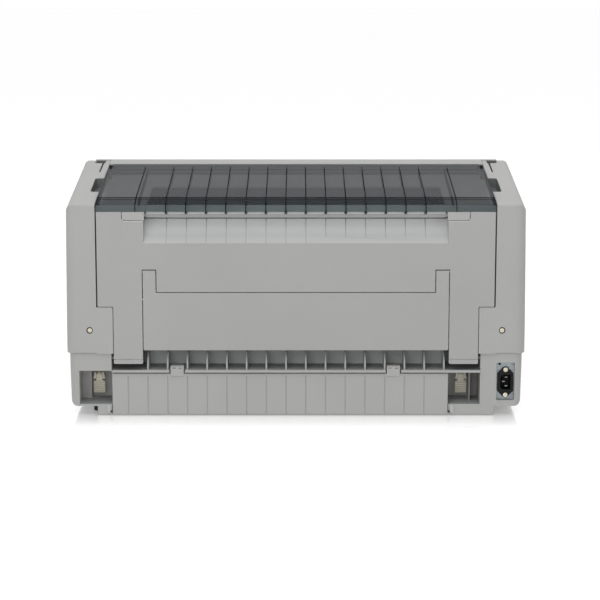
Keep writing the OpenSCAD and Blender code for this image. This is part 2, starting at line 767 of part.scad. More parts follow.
module rear_paper_guide() color(case_grey) difference() {
    union() {
        box([-bay_x, bay_x], [bay_y, rear_y], [shelf_under, shelf_h]);
        // The wall behind the ribs, which leans over to the tractors at its top
        slab_x(-chute_x, chute_x, [
            [chute_wall_y, shelf_h - 1], [chute_wall_y, chute_rib_top - 1], [chute_end_y, chute_end_z - 14],
            [chute_end_y, chute_end_z], [chute_end_y - wall, chute_end_z],
            [chute_end_y - wall, chute_end_z - 15], [chute_wall_y - wall, chute_rib_top - 2],
            [chute_wall_y - wall, shelf_h - 1]
        ]);
        for (i = [0 : 7], s = [-1, 1]) chute_rib_at(s * (rib_first + i * rib_pitch));
    }
    for (c = [catch_a, catch_b])
        box([c - catch_w / 2 - catch_gap, c + catch_w / 2 + catch_gap], [base_y - 13, rear_y + 1],
            [shelf_under - 1, shelf_h + 2]);
}

module front_paper_guide() color(case_grey)
    slab_x(-slot_x, slot_x, rounded([
        [front_y + wall, slot_z - 3.5, 0], [front_y + 34, slot_z - 3.5, 0], [front_y + 44, slot_z + 1, 0.5],
        [front_y + 42, slot_z + 3, 0.5], [front_y + 33, slot_z - 0.5, 3], [front_y + wall, slot_z - 0.5, 0]
    ]));

// ---- Lock levers ----

lever_pin_y = bay_y + 6;
lever_pin_r = 1.8;
stem_w = 10;

module lever_brackets() color(beige)
    for (c = [lever_a, lever_b]) difference() {
        slab_y(bay_y, bay_y + 12, [
            [c - lever_w / 2, lever_pivot - 5], [c + lever_w / 2, lever_pivot - 5],
            [c + lever_w / 2 - 2, lever_pivot + 5.5], [c - lever_w / 2 + 2, lever_pivot + 5.5]
        ]);
        box([c - stem_w / 2 - 0.5, c + stem_w / 2 + 0.5], [bay_y + 1.5, bay_y + 13], [0, lever_pivot + 4]);
        for (s = [-1, 1]) box([c + s * 3 - 1.5, c + s * 3 + 1.5], [bay_y + 2, bay_y + 13],
            [lever_pivot, lever_pivot + 9]);
        rod_x(c - 9.9, c + 9.9, lever_pin_y, lever_pivot, lever_pin_r + run_gap);
    }

module lock_lever(c) color(beige) {
    slab_x(c - stem_w / 2, c + stem_w / 2, rounded([
        [lever_pin_y - 3, lever_top - 4, 0], [lever_pin_y + 3, lever_top - 4, 0],
        [lever_pin_y + 3, lever_pivot + 3, 2.9], [lever_pin_y - 3, lever_pivot + 3, 2.9]
    ]));
    rod_x(c - lever_w / 2 + 1.5, c + lever_w / 2 - 1.5, lever_pin_y, lever_pivot, lever_pin_r);
    slab_y(lever_pin_y - 1, lever_pin_y + 4,
        frame_rect(c - lever_w / 2, c + lever_w / 2, lever_bottom, lever_top, 1.5));
    for (i = [0 : 5]) box([c - lever_w / 2 + 1, c + lever_w / 2 - 1], [lever_pin_y + 3, lever_pin_y + 5],
        [lever_bottom + 2 + 3 * i, lever_bottom + 3.4 + 3 * i]);
}
module lock_lever_left() lock_lever(lever_b);
module lock_lever_right() lock_lever(lever_a);

// ---- Mains inlet ----

flange_t = 3;
plate_y = inlet_y - 2;

module inlet_plate() color(steel) difference() {
    slab_y(plate_y, inlet_y, inlet_window());
    box([inlet_x - socket_w / 2 - 2, inlet_x + socket_w / 2 + 2], [0, rear_y],
        [inlet_z - socket_h / 2 - 2, inlet_z + socket_h / 2 + 2]);
    for (s = [-1, 1]) rod_y(0, rear_y, inlet_x, inlet_z + s * inlet_pitch / 2, 1.5);
    rod_y(0, rear_y, inlet_x + 9, inlet_win_z + inlet_win_h / 2 - 3, 1.8);
}

module mains_inlet() color(dark) {
    difference() {
        union() {
            slab_y(inlet_y, inlet_y + flange_t, [for (p = rounded([
                [0, -26.5, 5], [12.5, -14, 3], [12.5, 14, 3], [0, 26.5, 5], [-12.5, 14, 3], [-12.5, -14, 3]
            ])) p + [inlet_x, inlet_z]]);
            box([inlet_x - socket_w / 2 - 2, inlet_x + socket_w / 2 + 2],
                [inlet_y + flange_t - socket_deep - 3, inlet_y + 1],
                [inlet_z - socket_h / 2 - 2, inlet_z + socket_h / 2 + 2]);
        }
        slab_y(inlet_y + flange_t - socket_deep, rear_y, rounded([for (p = [
            [-socket_w / 2, -socket_h / 2, 1], [socket_w / 2 - 4, -socket_h / 2, 1],
            [socket_w / 2, 4 - socket_h / 2, 1], [socket_w / 2, socket_h / 2 - 4, 1],
            [socket_w / 2 - 4, socket_h / 2, 1], [-socket_w / 2, socket_h / 2, 1]
        ]) [p[0] + inlet_x, p[1] + inlet_z, p[2]]]));
        for (s = [-1, 1]) rod_y(0, rear_y, inlet_x, inlet_z + s * inlet_pitch / 2, 1.5);
    }
    for (p = [[-1.5, -7], [2.5, 0], [-1.5, 7]])
        box([inlet_x + p[0] - 2, inlet_x + p[0] + 2], [inlet_y + flange_t - socket_deep - 1, inlet_y - 2],
            [inlet_z + p[1] - 1, inlet_z + p[1] + 1]);
}

// ---- Frame ----

frame_foot = plate_z + plate_t;
frame_out = frame_x + frame_t;
gear_x0 = frame_out + 8;
gear_x1 = gear_x0 + gear_w;
stud_r = 4;
motor_shaft_r = 2.5;
bush_r = platen_shaft_r + 4;
tractor_shaft_r = stud_r;
tractor_bush_r = tractor_shaft_r + 3;
frame_top = ridge_h - 48;

cartridge_y0 = -104;
cartridge_y1 = -72;
frame_front = cartridge_y0 - 8;
frame_rear = tractor_y + 24;
hump_front = shaft_y + 26;
hump_rear = platen_y + 44;
vent_r = 28;
vent_y = [-60, 50];

module base_plate() color(steel)
    box([-frame_out - 7, frame_out + 7], [frame_front - 28, tractor_y + 1], [plate_z, plate_z + plate_t]);

module side_frame() difference() {
    union() {
        slab_x(frame_x, frame_out, rounded([
            [frame_front, frame_foot, 0], [tractor_y - 1, frame_foot, 0],
            [tractor_y - 1, tractor_bottom - 2, 4],
            [frame_rear, tractor_bottom - 2, 6], [frame_rear, tractor_z + 20, 10],
            [hump_rear + 12, mech_top, 8], [hump_rear, frame_top, 8], [hump_front, frame_top, 8],
            [hump_front - 12, cartridge_z, 4], [frame_front + 4, cartridge_z, 4]
        ]));
        box([frame_x, frame_out + 6], [frame_front, tractor_y - 1], [frame_foot, frame_foot + 2]);
    }
    rod_x(0, half_w, platen_y, platen_z, bush_r);
    rod_x(0, half_w, tractor_y, tractor_z, tractor_bush_r);
    rod_x(0, half_w, tractor_y, rod_z_h, rod_r);
    rod_x(0, half_w, shaft_y, shaft_z, shaft_r);
    rod_x(0, half_w, rail_y, rail_z, rail_r);
    for (p = [idler_at, transfer_at]) rod_x(0, half_w, p[0], p[1], stud_r);
    rod_x(0, half_w, pinion_at[0], pinion_at[1], 6);
    for (y = vent_y) rod_x(0, half_w, y, plate_z + 20 + vent_r, vent_r);
}
module side_frame_right() color(steel) side_frame();
module side_frame_left() color(steel) mirror([1, 0, 0]) side_frame();

module guide_shafts() color("silver") {
    rod_x(-frame_out - 3, frame_out + 3, shaft_y, shaft_z, shaft_r);
    rod_x(-frame_out - 3, frame_out + 3, rail_y, rail_z, rail_r);
    rod_x(-frame_out - 3, frame_out + 3, tractor_y, rod_z_h, rod_r);
}

module bush(y, z, r, bore) difference() {
    rod_x(frame_x - 2, frame_out + 1.5, y, z, r);
    rod_x(0, half_w, y, z, bore + run_gap);
}
module shaft_bushes() color("peru") both() {
    bush(platen_y, platen_z, bush_r, platen_shaft_r);
    bush(tractor_y, tractor_z, tractor_bush_r, tractor_shaft_r);
}

bracket_t = 2;
motor_w = 42;

module belt_bracket(s) {
    box([min(s * frame_x, s * (pulley_x - 24)), max(s * frame_x, s * (pulley_x - 24))],
        [belt_y - 24, belt_y + 24], [bracket_z, bracket_z + bracket_t]);
    box([min(s * frame_x, s * (frame_x - 2)), max(s * frame_x, s * (frame_x - 2))],
        [belt_y - 24, belt_y + 24], [bracket_z - 28, bracket_z + 1]);
}

module frame_brackets() color(steel) {
    for (p = [idler_at, transfer_at]) {
        rod_x(frame_x, gear_x1 + 2, p[0], p[1], stud_r);
        rod_x(frame_out, gear_x0 - 0.5, p[0], p[1], stud_r + 3);
        rod_x(gear_x1 + 0.5, gear_x1 + 2, p[0], p[1], stud_r + 2);
    }
    difference() {
        belt_bracket(-1);
        rod_z(0, ridge_h, -pulley_x, belt_y, 4);
    }
    belt_bracket(1);
    rod_z(bracket_z, bracket_z + 18, pulley_x, belt_y, 2.5);
    rod_z(bracket_z + 16, bracket_z + 18, pulley_x, belt_y, 4);
}

// ---- Gears ----

platen_teeth = 24;
idler_teeth = 20;
pinion_teeth = 16;
tractor_teeth = 16;
press_angle = 20;
involute_at_pitch = (tan(press_angle) - press_angle * PI / 180) * 180 / PI;

function pitch_r(n) = gear_m * n / 2;
function polar(p, r, a) = p + r * [cos(a), sin(a)];
function angle_to(p, q) = atan2(q[1] - p[1], q[0] - p[0]);

// Where two circles round p and q meet, on the left of the line from p to q.
function meet(p, r, q, s) = let (d = norm(q - p), a = (r * r - s * s + d * d) / (2 * d))
    let (u = (q - p) / d, h = sqrt(r * r - a * a)) p + a * u + h * [-u[1], u[0]];

platen_at = [platen_y, platen_z];
idler_at = polar(platen_at, pitch_r(platen_teeth + idler_teeth), -60);
pinion_at = polar(idler_at, pitch_r(idler_teeth + pinion_teeth), -120);
tractor_at = [tractor_y, tractor_z];
// The transfer gear has as many teeth as it takes to reach from the idler to the tractors' gear
train_gap = norm(tractor_at - idler_at) + 1 - pitch_r(idler_teeth + tractor_teeth);
transfer_teeth = 2 * ceil(train_gap / 2 / gear_m);
transfer_at = meet(idler_at, pitch_r(idler_teeth + transfer_teeth),
    tractor_at, pitch_r(transfer_teeth + tractor_teeth));

// The angle at which gear n, at q, meshes with gear m, at p and turned by phase.
function mesh(phase, m, p, n, q) = let (b = angle_to(p, q)) b + 180 - (0.5 - (b - phase) * m / 360) * 360 / n;
idler_phase = mesh(0, platen_teeth, platen_at, idler_teeth, idler_at);
pinion_phase = mesh(idler_phase, idler_teeth, idler_at, pinion_teeth, pinion_at);
transfer_phase = mesh(idler_phase, idler_teeth, idler_at, transfer_teeth, transfer_at);
tractor_phase = mesh(transfer_phase, transfer_teeth, transfer_at, tractor_teeth, tractor_at);

// Half the angle of a tooth of gear n at radius r.
function half_tooth(n, r) = let (base = pitch_r(n) * cos(press_angle), t = sqrt(max(pow(r / base, 2) - 1, 0)))
    90 / n - backlash / 2 / pitch_r(n) * 180 / PI + involute_at_pitch - (t * 180 / PI - atan(t));
function gear_outline(n) = let (r = [pitch_r(n) - 1.25 * gear_m, pitch_r(n), pitch_r(n) + gear_m]) [
    for (i = [0 : n - 1], k = [0 : 5])
        let (q = r[k < 3 ? k : 5 - k], a = i * 360 / n + (k < 3 ? -1 : 1) * half_tooth(n, q))
            q * [cos(a), sin(a)]
];

// A bore of 0 leaves the gear solid.
module gear(n, at, phase, bore) difference() {
    translate([gear_x0, at[0], at[1]]) rotate([90, 0, 90]) rotate([0, 0, phase])
        linear_extrude(gear_w) polygon(gear_outline(n));
    if (bore > 0) rod_x(gear_x0 - 1, gear_x1 + 1, at[0], at[1], bore);
    // Shallow hollow in the outer face
    if (n > 18) difference() {
        rod_x(gear_x1 - 2, gear_x1 + 1, at[0], at[1], pitch_r(n) - 5);
        rod_x(gear_x1 - 3, gear_x1 + 2, at[0], at[1], bore + 4);
    }
}

module platen_gear() color("ivory") gear(platen_teeth, platen_at, 0, platen_shaft_r);
module idler_gear() color("ivory") gear(idler_teeth, idler_at, idler_phase, stud_r + run_gap);
module transfer_gear() color("ivory") gear(transfer_teeth, transfer_at, transfer_phase, stud_r + run_gap);
module tractor_gear() color("ivory") gear(tractor_teeth, tractor_at, tractor_phase, tractor_shaft_r);
module motor_pinion() color("gold") {
    gear(pinion_teeth, pinion_at, pinion_phase, 0);
    rod_x(frame_x - 9, gear_x1 + 1, pinion_at[0], pinion_at[1], motor_shaft_r);
}

module platen_roller() color(dark) difference() {
    rod_x(-platen_len, platen_len, platen_y, platen_z, platen_r);
    rod_x(-platen_len - 1, platen_len + 1, platen_y, platen_z, platen_shaft_r);
}
module platen_shaft() color("silver") rod_x(-frame_out - 8, gear_x1 + 4, platen_y, platen_z, platen_shaft_r);

module tractor_shaft() color("silver") {
    box([3 - frame_x, frame_x - 3], [tractor_y - square_w / 2, tractor_y + square_w / 2],
        [tractor_z - square_w / 2, tractor_z + square_w / 2]);
    rod_x(-frame_out - 2, 4 - frame_x, tractor_y, tractor_z, tractor_shaft_r);
    rod_x(frame_x - 4, gear_x1 + 2, tractor_y, tractor_z, tractor_shaft_r);
}

// ---- Motors and belt ----

module feed_motor() color(dark) difference() {
    slab_x(frame_x - 42, frame_x, frame_rect(pinion_at[0] - motor_w / 2, pinion_at[0] + motor_w / 2,
        pinion_at[1] - motor_w / 2, pinion_at[1] + motor_w / 2, 4));
    rod_x(frame_x - 10, frame_x + 1, pinion_at[0], pinion_at[1], motor_shaft_r + run_gap);
}

module carriage_motor() color(dark) difference() {
    slab_z(bracket_z - motor_w, bracket_z, frame_rect(-pulley_x - motor_w / 2, motor_w / 2 - pulley_x,
        belt_y - motor_w / 2, belt_y + motor_w / 2, 4));
    rod_z(bracket_z - 13, bracket_z + 1, -pulley_x, belt_y, motor_shaft_r + run_gap);
}

pulley_z = bracket_z + 4;
rim_r = pulley_r + 1.5;

module pulley(x, bore) difference() {
    union() {
        rod_z(pulley_z, pulley_z + 11, x, belt_y, pulley_r);
        rod_z(pulley_z, pulley_z + 1.2, x, belt_y, rim_r);
        rod_z(pulley_z + 9.8, pulley_z + 11, x, belt_y, rim_r);
    }
    if (bore > 0) rod_z(pulley_z - 1, pulley_z + 12, x, belt_y, bore);
}
module drive_pulley() color("silver") {
    pulley(-pulley_x, 0);
    rod_z(bracket_z - 12, pulley_z + 11.5, -pulley_x, belt_y, motor_shaft_r);
}
module idler_pulley() color("silver") pulley(pulley_x, motor_shaft_r + run_gap);

module belt_loop(r, beyond = 0) {
    z0 = pulley_z + 2 - beyond;
    z1 = pulley_z + 2 + belt_w + beyond;
    for (s = [-1, 1]) rod_z(z0, z1, s * pulley_x, belt_y, r);
    box([-pulley_x, pulley_x], [belt_y - r, belt_y + r], [z0, z1]);
}
module toothed_belt() color(dark) difference() {
    belt_loop(pulley_r + run_gap + belt_t);
    belt_loop(pulley_r + run_gap, 1);
}

// ---- Carriage, head and ribbon ----

belt_run_y = belt_y - pulley_r - run_gap;
head_top = cartridge_z - 6;
nose_y = platen_y - platen_r - head_gap;
head_w = 40;
head_y = shaft_y + 28;
fin_pitch = 5.5;

module carriage() color(dark) difference() {
    union() {
        slab_x(-carriage_w / 2, carriage_w / 2, rounded([
            [rail_y - 8, shaft_z + 6, 2], [shaft_y - 12, shaft_z - 12, 3], [shaft_y + 22, shaft_z - 12, 3],
            [shaft_y + 22, mech_top - 6, 3], [shaft_y + 8, mech_top, 0], [rail_y - 8, mech_top, 2]
        ]));
        // Cheeks that grip the belt
        box([-12, 12], [belt_run_y - belt_t - 3, belt_run_y - belt_t - 0.4], [pulley_z + 1, shaft_z + 4]);
        box([-12, 12], [belt_run_y + 0.4, belt_run_y + 3], [pulley_z + 1, shaft_z + 4]);
    }
    rod_x(-carriage_w, carriage_w, shaft_y, shaft_z, shaft_r + run_gap);
    rod_x(-carriage_w, carriage_w, rail_y, rail_z, rail_r + run_gap);
}

module print_head() color("dimgray") {
    difference() {
        box([-head_w / 2, head_w / 2], [head_y - 36, head_y], [mech_top, head_top]);
        for (i = [0 : 5]) let (y = head_y - 32 + fin_pitch * i)
            box([-head_w / 2 - 1, head_w / 2 + 1], [y, y + 2.5], [platen_z - 9, head_top + 1]);
    }
    box([-5, 5], [head_y, nose_y], [platen_z - 8, platen_z + 8]);
    box([4 - head_w / 2, head_w / 2 - 4], [head_y, head_y + 4], [mech_top + 2, head_top - 2]);
}

knob_x = 190;
knob_y = (cartridge_y0 + cartridge_y1) / 2;
guide_x = 222;
guide_w = 8;
ribbon_y = platen_y - platen_r - 1.6;

module ribbon_cartridge() color(dark) {
    difference() {
        union() {
            slab_z(cartridge_z, cartridge_z + ribbon_h,
                frame_rect(-ribbon_x, ribbon_x, cartridge_y0, cartridge_y1, 5));
            both() box([guide_x, guide_x + guide_w], [cartridge_y1 - 1, ribbon_y + 0.6],
                [cartridge_z, cartridge_z + 12]);
            both() box([guide_x, guide_x + guide_w], [ribbon_y - 6, ribbon_y + 0.6],
                [platen_z - 9, cartridge_z + 1]);
        }
        rod_z(cartridge_z + ribbon_h - 7, ridge_h, knob_x, knob_y, 3 + run_gap);
    }
    // The exposed ribbon
    box([-guide_x, guide_x], [ribbon_y, ribbon_y + 0.4], [platen_z - 6, platen_z + 6]);
}

module ribbon_knob() color("royalblue") difference() {
    union() {
        rod_z(cartridge_z + ribbon_h + 0.3, cartridge_z + ribbon_h + 10, knob_x, knob_y, ribbon_knob_r);
        rod_z(cartridge_z + ribbon_h - 6, cartridge_z + ribbon_h + 1, knob_x, knob_y, 3);
    }
    for (i = [0 : 11]) translate([knob_x, knob_y, 0]) rotate([0, 0, 30 * i])
        rod_z(cartridge_z + ribbon_h + 2, cartridge_z + ribbon_h + 11, ribbon_knob_r + 0.6, 0, 1.4);
}

// ---- Tractors ----

tractor_top = tractor_bottom + tractor_h;
door_hinge_x = tractor_x + tractor_w / 2 + 1.5;
door_hinge_y = tractor_y1 + 3;

// s is -1 for the left tractor and 1 for the right one.
module tractor(s) color(dark) difference() {
    union() {
        slab_x(s * tractor_x - tractor_w / 2, s * tractor_x + tractor_w / 2,
            frame_rect(tractor_y0, tractor_y1, tractor_bottom, tractor_top, 5));
        for (i = [0 : 4])
            rod_y(tractor_y1 - 1, tractor_y1 + 2, s * tractor_x, tractor_bottom + 9 + 12 * i, 1.5);
        // Knuckles and pin of the door's hinge
        for (z = [tractor_bottom + 3, tractor_top - 9])
            box([s * (tractor_x + tractor_w / 2) - 1.5, s * (tractor_x + tractor_w / 2) + 1.5] + [s, s] * 1.5,
                [tractor_y1 - 4, tractor_y1 + 5], [z, z + 6]);
        rod_z(tractor_bottom + 4, tractor_top - 4, s * door_hinge_x, door_hinge_y, light_pin_r);
    }
    rod_x(-half_w, half_w, tractor_y, rod_z_h, rod_r + run_gap);
    rod_x(-half_w, half_w, tractor_y, tractor_z, square_w * 0.75);
}

module tractor_door(s) color("dimgray") difference() {
    union() {
        rod_z(tractor_bottom + 9.4, tractor_top - 9.4, s * door_hinge_x, door_hinge_y, 2.4);
        slab_y(tractor_y1 + 2.6, tractor_y1 + 5.4, frame_rect(
            min(s * (tractor_x - tractor_w / 2), s * door_hinge_x),
            max(s * (tractor_x - tractor_w / 2), s * door_hinge_x),
            tractor_bottom + 9.4, tractor_top - 9.4, 0.5));
    }
    rod_z(0, ridge_h, s * door_hinge_x, door_hinge_y, light_pin_r + run_gap);
}
module tractor_left() tractor(-1);
module tractor_right() tractor(1);
module tractor_door_left() tractor_door(-1);
module tractor_door_right() tractor_door(1);

// ---- Boards and power ----

board_x = 200;
board_rear = 80;
board_deep = 180;
chip_w = 28;
chips = [[-120, -40], [-40, -40], [40, -60], [60, 10], [-90, 30]];
plugs = [-180, -150, 130, 170];

module main_board() {
    color("darkgreen") box([-board_x, board_x], [board_rear - board_deep, board_rear],
        [board_z, board_z + port_t]);
    color(dark) for (p = chips)
        box([p[0] - chip_w / 2, p[0] + chip_w / 2], [p[1] - chip_w / 2, p[1] + chip_w / 2],
            [board_z + port_t, board_z + 5]);
    color("ivory") for (x = plugs)
        box([x - 11, x + 11], [board_rear - 20, board_rear - 10], [board_z + port_t, board_z + 12]);
}

module interface_sockets() {
    color("darkgreen") box([base_x - 57, base_x - 13], [parallel_y[0] - 8, usb_y[1] + 10],
        [port_z, port_z + port_t]);
    color("gray") difference() {
        box([base_x - 25, base_x - 3], parallel_y, [port_z + port_t, port_z + port_t + parallel_h]);
        box([base_x - 17, base_x], [parallel_y[0] + 4, parallel_y[1] - 4],
            [port_z + port_t + 4, port_z + port_t + parallel_h - 4]);
    }
    color("silver") difference() {
        box([base_x - 19, base_x - 3], usb_y, [port_z + port_t, port_z + port_t + usb_h]);
        box([base_x - 15, base_x], [usb_y[0] + 2, usb_y[1] - 2],
            [port_z + port_t + 2, port_z + port_t + usb_h - 2]);
    }
}

tin_t = 1.2;
fan_x = supply_x + supply_w / 2;
fan_z = floor_z + supply_h / 2;
fan_y0 = fan_y - fan_t / 2;
fan_y1 = fan_y + fan_t / 2;

module power_supply() color(steel) {
    difference() {
        box([supply_x, supply_x + supply_w], [fan_y1, fan_y1 + supply_len], [floor_z, floor_z + supply_h]);
        box([supply_x + tin_t, supply_x + supply_w - tin_t], [fan_y1 + tin_t, fan_y1 + supply_len - tin_t],
            [floor_z + tin_t, floor_z + supply_h - tin_t]);
        rod_y(fan_y, fan_y + fan_t, fan_x, fan_z, fan_w / 2 - 2);
    }
    box([supply_x + 12, supply_x + 52], [fan_y1 + 80, fan_y1 + 130], [floor_z + tin_t, floor_z + 44]);
}

module fan_housing() color(dark) difference() {
    union() {
        difference() {
            slab_y(fan_y0, fan_y1, frame_rect(fan_x - fan_w / 2, fan_x + fan_w / 2,
                fan_z - fan_w / 2, fan_z + fan_w / 2, 3));
            rod_y(fan_y0 - 1, fan_y1 + 1, fan_x, fan_z, fan_w / 2 - 2);
        }
        for (a = [30, 150, 270]) translate([fan_x, 0, fan_z]) rotate([0, a, 0])
            box([0, fan_w / 2 - 1], [fan_y1 - 4, fan_y1], [-2, 2]);
        rod_y(fan_y1 - 5, fan_y1, fan_x, fan_z, 12);
    }
    rod_y(fan_y0, fan_y1 - 1.5, fan_x, fan_z, 2 + run_gap);
}

module fan_rotor() color(dark) {
    rod_y(fan_y0 + 2, fan_y1 - 5.5, fan_x, fan_z, 11);
    rod_y(fan_y1 - 8, fan_y1 - 2, fan_x, fan_z, 2);
    for (i = [0 : 6]) translate([fan_x, (fan_y0 + fan_y1) / 2 - 2, fan_z]) rotate([0, i * 360 / 7, 0])
        rotate([35, 0, 0]) box([9, fan_w / 2 - 4], [-0.8, 0.8], [-6, 6]);
}

// ---- Front panel ----

bezel_y0 = front_y + 1;
bezel_y1 = bezel_y0 + 3;
bezel_z = (bezel_z0 + bezel_z1) / 2;
button_x0 = bezel_a + 90;
function button_x(i) = button_x0 + i * button_pitch;
display_x0 = bezel_a + 14;
display_x1 = display_x0 + 46;
lamp_x = bezel_a + 70;
panel_back = front_y + 9;

module panel_bezel() color("gray") {
    difference() {
        box([bezel_a, bezel_b], [bezel_y0, bezel_y1], [bezel_z0, bezel_z1]);
        box([display_x0, display_x1], [front_y, front_y + 9], [bezel_z - 8, bezel_z + 8]);
        for (z = [-8, 0, 8]) rod_y(front_y, front_y + 9, lamp_x, bezel_z + z, 1.6);
        for (i = [0 : 3]) box(
            [button_x(i) - button_w / 2 - 0.3, button_x(i) + button_w / 2 + 0.3],
            [front_y, front_y + 9], [bezel_z - button_h / 2 - 0.3, bezel_z + button_h / 2 + 0.3]);
    }
    for (x = [bezel_a + 5, bezel_b - 5], z = [bezel_z0 + 4, bezel_z1 - 4])
        rod_y(bezel_y1, panel_back, x, z, 2);
}

module panel_display() {
    color("darkseagreen") box([display_x0, display_x1], [bezel_y0 + 0.6, bezel_y1 - 0.4],
        [bezel_z - 8, bezel_z + 8]);
    color("limegreen") for (z = [-8, 0, 8]) rod_y(bezel_y0, panel_back, lamp_x, bezel_z + z, 1.6);
}

module panel_board() {
    color("darkgreen") box([bezel_a + 2, bezel_b - 2], [panel_back, panel_back + 1.6],
        [bezel_z0 + 1, bezel_z1 - 1]);
    color(dark) for (i = [0 : 3]) box([button_x(i) - 3, button_x(i) + 3],
        [panel_back - 0.8, panel_back], [bezel_z - 3, bezel_z + 3]);
}

module button(i) color("gainsboro") {
    slab_y(front_y, front_y + 6, frame_rect(button_x(i) - button_w / 2,
        button_x(i) + button_w / 2, bezel_z - button_h / 2, bezel_z + button_h / 2, 1));
    box([button_x(i) - button_w / 2 - 1.5, button_x(i) + button_w / 2 + 1.5],
        [bezel_y1 + 0.6, bezel_y1 + 2.6], [bezel_z - button_h / 2 - 1.5, bezel_z + button_h / 2 + 1.5]);
}
module button_pause() button(0);
module button_load() button(1);
module button_feed() button(2);
module button_tear() button(3);

rocker_y = front_y + 7;
module switch_housing() color(dark) difference() {
    box([switch_xc - 13, switch_xc + 13], [front_y + wall, front_y + 20], [switch_z - 10.5, switch_z + 10.5]);
    box([switch_xc - 9.5, switch_xc + 9.5], [front_y, front_y + 17], [switch_z - 8, switch_z + 8]);
    rod_x(switch_xc - 12, switch_xc + 12, rocker_y, switch_z, 1.5 + run_gap);
}
module power_switch() color(dark) {
    slab_x(switch_xc - 8.5, switch_xc + 8.5, rounded([
        [front_y + 0.3, switch_z - 6.2, 0.5], [front_y + 10, switch_z - 6.2, 2], [front_y + 12, switch_z, 1],
        [front_y + 10, switch_z + 6.2, 2], [front_y + 0.3, switch_z + 6.2, 0.5], [front_y + 0.8, switch_z, 2]
    ]));
    rod_x(switch_xc - 11.5, switch_xc + 11.5, rocker_y, switch_z, 1.5);
}

// ---- Covers ----

flap_pin_y = rear_y - cover_pin_in;
flap_pin_z = ear_top - cover_pin_up;
ramp_line = unit([-ramp_deep, ramp_top - ramp_bottom]);

module rear_cover_half() {
    slab_y(rear_y - wall, rear_y, rounded([
        [flap_x + 1.1, leg_bottom, 2], [leg_x, leg_bottom, 2],
        [leg_x, wing_bottom, 2], [wing_x, wing_bottom, 2],
        [wing_x, wing_top, 1], [pad_x + 0.8, wing_top, 1], [pad_x + 0.8, pad_bottom - 0.7, 6],
        [ramp_x, pad_bottom - 0.7, 0], [ramp_x, ramp_bottom, 0], [0, ramp_bottom, 0], [0, flap_top + 1, 0],
        [flap_x - ear_w - 1.1, flap_top + 1, 0], [flap_x - ear_w - 1.1, ear_top + 1.4, 0],
        [flap_x + 1.1, ear_top + 1.4, 0]
    ]));
    // Side of the ramp's recess
    slab_x(ramp_x, ramp_x + wall, [
        [rear_y - 2, ramp_bottom - 4], [rear_y - 1, ramp_top], [rear_y - ramp_deep - 2, ramp_top],
        [rear_y - ramp_deep - 2, ramp_top - 4], [rear_y - 5, ramp_bottom - 4]
    ]);
    // Ear and hinge pin of the leg
    box([leg_x - wall, leg_x], [rear_pin_y - 6, rear_y - wall + 1], [leg_bottom, leg_bottom + 14]);
    rod_x(leg_x - 1, bay_x + wall - 0.3, rear_pin_y, rear_pin_z, hinge_pin_r);
    // Boss of the flap's pin
    box([flap_x + 1.1, flap_x + 6], [rear_y - 7, rear_y - wall + 1], [flap_pin_z - 6, flap_pin_z + 6]);
}

module rear_cover() color(cover_grey) difference() {
    union() {
        both() rear_cover_half();
        slab_x(-ramp_x - 1, ramp_x + 1, [
            [rear_y, ramp_bottom], [rear_y - ramp_deep, ramp_top],
            [rear_y - ramp_deep - wall * ramp_line[1], ramp_top + wall * ramp_line[0]],
            [rear_y - wall - 1, ramp_bottom - 3], [rear_y - 1, ramp_bottom - 3]
        ]);
        for (i = [0 : 6], s = [-1, 1]) let (x = s * (rib_first + i * rib_pitch))
            slab_x(x - 0.6, x + 0.6, [
                [rear_y - 2, ramp_bottom + 1.5], [rear_y - ramp_deep + 1, ramp_top],
                [rear_y - ramp_deep - 0.5, ramp_top], [rear_y - 3, ramp_bottom + 1.5]
            ]);
    }
    both() rod_x(flap_x, flap_x + 5.2, flap_pin_y, flap_pin_z, light_pin_r + run_gap);
    // Fine line near each leg's end
    both() box([0, half_w], [rear_y - 0.4, rear_y + 1], [rear_pin_z - 0.4, rear_pin_z + 0.4]);
}

module rear_flap() color(cover_grey) both() {
    slab_y(rear_y - wall, rear_y, rounded([
        [0, flap_bottom, 0], [flap_x, flap_bottom, 2], [flap_x, ear_top, 0.5], [flap_x - ear_w, ear_top, 0.5],
        [flap_x - ear_w, flap_top, 0], [0, flap_top, 0]
    ]));
    rod_x(flap_x - 1, flap_x + 4.6, flap_pin_y, flap_pin_z, light_pin_r);
}

exit_t = 2.5;
exit_y0 = rear_y - exit_len;
exit_slope = (exit_front_h - bend_h) / (exit_len - bend_in);
exit_step_y = exit_y0 + 36;
function exit_top(y) = bend_h + exit_slope * (rear_y - bend_in - y);
exit_outer = [
    [exit_y0, lip_bottom, 0], [rear_y, lip_bottom, 0], [rear_y, lip_top, 2], [rear_y - bend_in, bend_h, 3],
    [exit_y0, exit_front_h, 0]
];
exit_inner = [
    [exit_y0 - 20, lip_bottom - 20, 0], [rear_y, lip_bottom - 20, 0], [rear_y, lip_top, 2],
    [rear_y - bend_in, bend_h, 3], [exit_y0 - 20, exit_front_h + 20 * exit_slope, 0]
];
rib_front = exit_y0 + 20;

// A rib or side wall under the cover: from y down to depth, its rear part down to z.
module exit_rib(x0, x1, y, depth, z) slab_x(x0, x1, [
    [y + 4, exit_top(y + 4) - depth], [rear_y - bend_in - 6, exit_top(rear_y - bend_in - 6) - depth],
    [rear_y - bend_in - 1, z], [rear_y - 1, z], [rear_y - 1, lip_top - 0.5], [rear_y - bend_in, bend_h - 0.5],
    [y, exit_top(y) - 0.5]
]);

end_rib_x = exit_x - 65;

